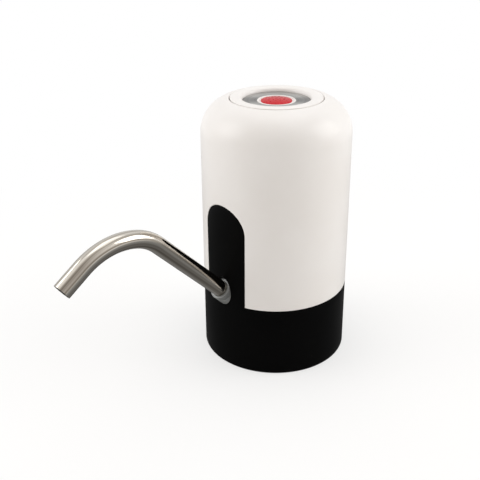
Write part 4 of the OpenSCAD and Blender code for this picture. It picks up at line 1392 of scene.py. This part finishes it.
@dataclass
class Key:
    """Push key in the dome: cap, spun ring plate and lens."""

    outline: BodyOutline = field(default_factory=BodyOutline)
    key_r: float = 22.0 * MM
    wall: float = 2.0 * MM
    skirt_z: float = 120.5 * MM
    skirt_round: float = 0.2 * MM
    edge_round: float = 0.3 * MM
    arc_steps: int = 8
    under_z: float = 127.3 * MM
    recess_z: float = 129.3 * MM
    recess_r: float = 16.12 * MM
    rim_round: float = 1.75 * MM
    bezel_r: float = 9.2 * MM
    bezel_in: float = 8.3 * MM
    bezel_z: float = 129.75 * MM
    bezel_round: float = 0.25 * MM
    plate_r: float = 16.0 * MM
    plate_in: float = 9.32 * MM
    plate_t: float = 0.4 * MM
    plate_round: float = 0.1 * MM
    lens_r: float = 7.4 * MM
    lens_t: float = 1.0 * MM
    lens_edge: float = 0.35 * MM
    lens_round: float = 0.12 * MM
    crown_share: float = 0.94
    crown_steps: int = 12

    def build_cap(self) -> Object:
        """Builds the white cap with its recess and bezel.

        Returns:
            The piece.
        """
        body, inner = self.outline, self.key_r - self.wall
        arc = body.dome_arc(body.dome_turn(self.key_r), QUARTER, self.arc_steps)
        corners = [(0.0, self.under_z, 0.0), (inner, self.under_z, 0.0), (inner, self.skirt_z, 0.0),
                   (self.key_r, self.skirt_z, self.skirt_round), (*arc[0], self.edge_round)]
        corners += [(*spot, 0.0) for spot in arc[1:]]
        corners += [(self.recess_r, body.top_z, self.rim_round), (self.recess_r, self.recess_z, 0.0),
                    (self.bezel_r, self.recess_z, 0.0), (self.bezel_r, self.bezel_z, self.bezel_round),
                    (self.bezel_in, self.bezel_z, self.bezel_round), (self.bezel_in, self.recess_z, 0.0),
                    (0.0, self.recess_z, 0.0)]
        return shown("key_cap", turned("key_cap", rounded(corners)), "button", "white_shell", "button_cap")

    def build_plate(self) -> Object:
        """Builds the spun ring plate.

        Returns:
            The piece.
        """
        low, high = self.recess_z, self.recess_z + self.plate_t
        ring = flat_ring(self.plate_in, self.plate_r, low, high, under=0.0, over=self.plate_round)
        return shown("key_plate", turned("key_plate", ring), "button", "silver_plate", "button_plate")

    def build_lens(self) -> Object:
        """Builds the lens with its gentle crown.

        Returns:
            The piece.
        """
        low, high = self.recess_z, self.recess_z + self.lens_t
        drop = self.lens_t - self.lens_edge
        crown = [(r, high - drop * (r / self.lens_r) ** 2, 0.0)
                 for r in spread(self.lens_r * self.crown_share, 0.0, self.crown_steps)]
        corners = [(0.0, low, 0.0), (self.lens_r, low, 0.0),
                   (self.lens_r, low + self.lens_edge, self.lens_round), *crown]
        return shown("key_lens", turned("key_lens", rounded(corners)), "button", "red_lens", "button_lens")


@dataclass
class Underside:
    """Soft ring at the top of the neck socket."""

    inner_r: float = 20.3 * MM
    outer_r: float = 29.25 * MM
    low_z: float = 22.0 * MM
    high_z: float = 24.0 * MM
    ease: float = 0.4 * MM

    def build(self) -> Object:
        """Builds the ring with eased lower edges."""
        ring = flat_ring(self.inner_r, self.outer_r, self.low_z, self.high_z, under=self.ease, over=0.0)
        return shown("neck_ring", turned("neck_ring", ring), "housing", "clear_silicone", "neck_gasket")


class Solids:
    """Solids of the part that keep their own meshes."""

    def dress(self) -> None:
        """Gives each solid the finish of its slot."""
        slots = {row["node"]: row["material_slot"] for row in frame["record"]["subparts"]}
        for node, piece in frame["nodes"].items():
            finish = FINISHES[slots[node]].material()
            piece.data.materials.clear()
            piece.data.materials.append(finish)
            LOG.info("%s: %s", node, finish.name)


@dataclass(frozen=True)
class Lamp:
    """Soft square lamp, with its place in the camera's frame: right, towards the camera and up."""

    name: str
    spot: Point3
    size: float
    watts: float
    aim_z: float = 0.07

    def hang(self, azimuth: float) -> None:
        """Hangs the lamp so that it points at the body.

        Args:
            azimuth: Turn of the camera's frame about Z.
        """
        data = bpy.data.lights.new(self.name, "AREA")
        data.size, data.energy = self.size, self.watts
        right, near, up = self.spot
        place = Matrix.Rotation(azimuth, 4, "Z") @ Vector((right, -near, up))
        turn = (Vector((0.0, 0.0, self.aim_z)) - place).to_track_quat("-Z", "Y")
        placed(self.name, data).matrix_world = Matrix.Translation(place) @ turn.to_matrix().to_4x4()


@dataclass
class Studio:
    """Pale floor, soft light and the camera of the photograph."""

    azimuth: float = math.radians(43.5)
    distance: float = 330.0 * MM
    height: float = 217.21 * MM
    pitch: float = 0.4529
    yaw: float = -0.0543
    roll: float = -0.0122
    focal_px: float = 713.1
    frame_px: float = 480.0
    sensor: float = 36.0
    clip: Point2 = (0.01, 20.0)
    floor_r: float = 2.5
    floor_sides: int = 96
    floor_tone: str = "f4f3f1"
    shadow_r: float = 0.1
    shadow_end: float = 0.3
    shadow_share: float = 0.6
    # How far and how low the floor is dimmed to reflections near the pump, a painted shade.
    mirror_end: float = 0.7
    mirror_low: float = 0.2
    room: tuple[tuple[float, Color], ...] = (
        (0.0, (0.76, 0.76, 0.76, 1.0)), (0.5, WHITE), (0.65, (0.88, 0.86, 0.84, 1.0)),
        (0.85, (0.5, 0.47, 0.45, 1.0)), (1.0, (0.25, 0.225, 0.205, 1.0)))
    lamps: tuple[Lamp, ...] = (
        Lamp("left_lamp", (-0.7, 0.1, 0.5), 0.5, 1.65), Lamp("right_lamp", (0.7, 0.0, 0.45), 0.5, 1.85),
        Lamp("top_lamp", (0.0, -0.1, 0.9), 0.6, 0.75))

    def build_camera(self) -> None:
        """Sets the camera that was fitted to the photograph."""
        data = bpy.data.cameras.new("photo_camera")
        data.sensor_width = self.sensor
        data.lens = self.focal_px / self.frame_px * self.sensor
        data.clip_start, data.clip_end = self.clip
        camera = placed("photo_camera", data)
        level = math.cos(self.pitch)
        ahead = Vector((math.sin(self.yaw) * level, math.cos(self.yaw) * level, -math.sin(self.pitch)))
        right = Vector((math.cos(self.yaw), -math.sin(self.yaw), 0.0))
        above = right.cross(ahead)
        side = right * math.cos(self.roll) + above * math.sin(self.roll)
        top = above * math.cos(self.roll) - right * math.sin(self.roll)
        turn = Matrix((side, top, -ahead)).transposed().to_4x4()
        camera.matrix_world = (Matrix.Rotation(self.azimuth, 4, "Z")
                               @ Matrix.Translation((0.0, -self.distance, self.height)) @ turn)
        bpy.context.scene.camera = camera

    def seen(self, sheet: NodeSheet) -> tuple[NodeSocket, NodeSocket]:
        """Tells what the camera sees, also through clear pieces, from what metal mirrors.

        Args:
            sheet: Sheet of the floor or the room.

        Returns:
            Share of what is seen, and share of what is mirrored.
        """
        path = sheet.add("ShaderNodeLightPath").outputs
        direct = sheet.math("MAXIMUM", path["Is Camera Ray"], path["Is Transmission Ray"])
        return direct, path["Is Glossy Ray"]

    def build_floor(self) -> None:
        """Lays a pale floor that shows white to the camera and keeps the shadow; to reflections it shows
        dimmer near the pump, a painted shade.
        """
        shape = bmesh.new()
        bmesh.ops.create_circle(shape, cap_ends=True, segments=self.floor_sides, radius=self.floor_r)
        mesh = bpy.data.meshes.new("studio_floor")
        shape.to_mesh(mesh)
        shape.free()
        floor = placed("studio_floor", mesh)
        material = bpy.data.materials.new("studio_floor")
        material.use_nodes = True
        sheet = NodeSheet(material.node_tree)
        seen, mirrored = self.seen(sheet)
        far = sheet.vector_math("LENGTH", sheet.add("ShaderNodeTexCoord").outputs["Object"]).outputs["Value"]
        fade = sheet.remap(far, self.shadow_r, self.shadow_end, self.shadow_share, curve="SMOOTHSTEP")
        # Painted shade: the floor shows dimmer to reflections near the pump.
        painted_mirror_shade = sheet.remap(far, self.shadow_r, self.mirror_end, self.mirror_low, curve="SMOOTHSTEP")
        share = sheet.math("MAXIMUM", sheet.math("MULTIPLY", seen, fade), mirrored)
        glow = sheet.add("ShaderNodeMix", {0: mirrored, 2: 1.0, 3: painted_mirror_shade})
        plain = sheet.add("ShaderNodeBsdfDiffuse", {"Color": linear(self.floor_tone)})
        bright = sheet.add("ShaderNodeEmission", {"Color": WHITE, "Strength": glow.outputs[0]})
        mix = sheet.add("ShaderNodeMixShader", {0: share, 1: plain.outputs[0], 2: bright.outputs[0]})
        sheet.add("ShaderNodeOutputMaterial", {"Surface": mix.outputs[0]})
        mesh.materials.append(material)

    def build_world(self) -> None:
        """Lights the scene from a pale room that is darker on the camera's side."""
        world = bpy.data.worlds.new("studio_room")
        world.use_nodes = True
        bpy.context.scene.world = world
        sheet = NodeSheet(world.node_tree)
        look = sheet.add("ShaderNodeTexCoord").outputs["Generated"]
        toward = (math.sin(self.azimuth), -math.cos(self.azimuth), 0.0)
        facing = sheet.vector_math("DOT_PRODUCT", look, toward).outputs["Value"]
        room = sheet.add("ShaderNodeValToRGB", {0: sheet.remap(facing, -1.0, 1.0)})
        ramp = room.color_ramp.elements
        for position, color in self.room[1:-1]:
            ramp.new(position).color = color
        ramp[0].color, ramp[-1].color = self.room[0][1], self.room[-1][1]
        color = sheet.mix(self.seen(sheet)[0], room.outputs[0], WHITE)
        back = sheet.add("ShaderNodeBackground", {"Color": color, "Strength": 1.0})
        sheet.add("ShaderNodeOutputWorld", {"Surface": back.outputs[0]})

    def build(self) -> None:
        """Builds the camera, the floor and the light."""
        bpy.context.scene.view_settings.view_transform = "Standard"
        self.build_camera()
        self.build_floor()
        self.build_world()
        for lamp in self.lamps:
            lamp.hang(self.azimuth)


def main() -> None:
    """Builds the studio and every piece in order."""
    logging.basicConfig(level=logging.INFO, format="%(name)s: %(message)s")
    Studio().build()
    Solids().dress()
    UpperShell().build()
    spout = Spout()
    BaseShell().build(spout.bore())
    spout.build_tube()
    spout.build_collar()
    key = Key()
    key.build_cap()
    key.build_plate()
    key.build_lens()
    Underside().build()


if __name__ == "__main__":
    main()
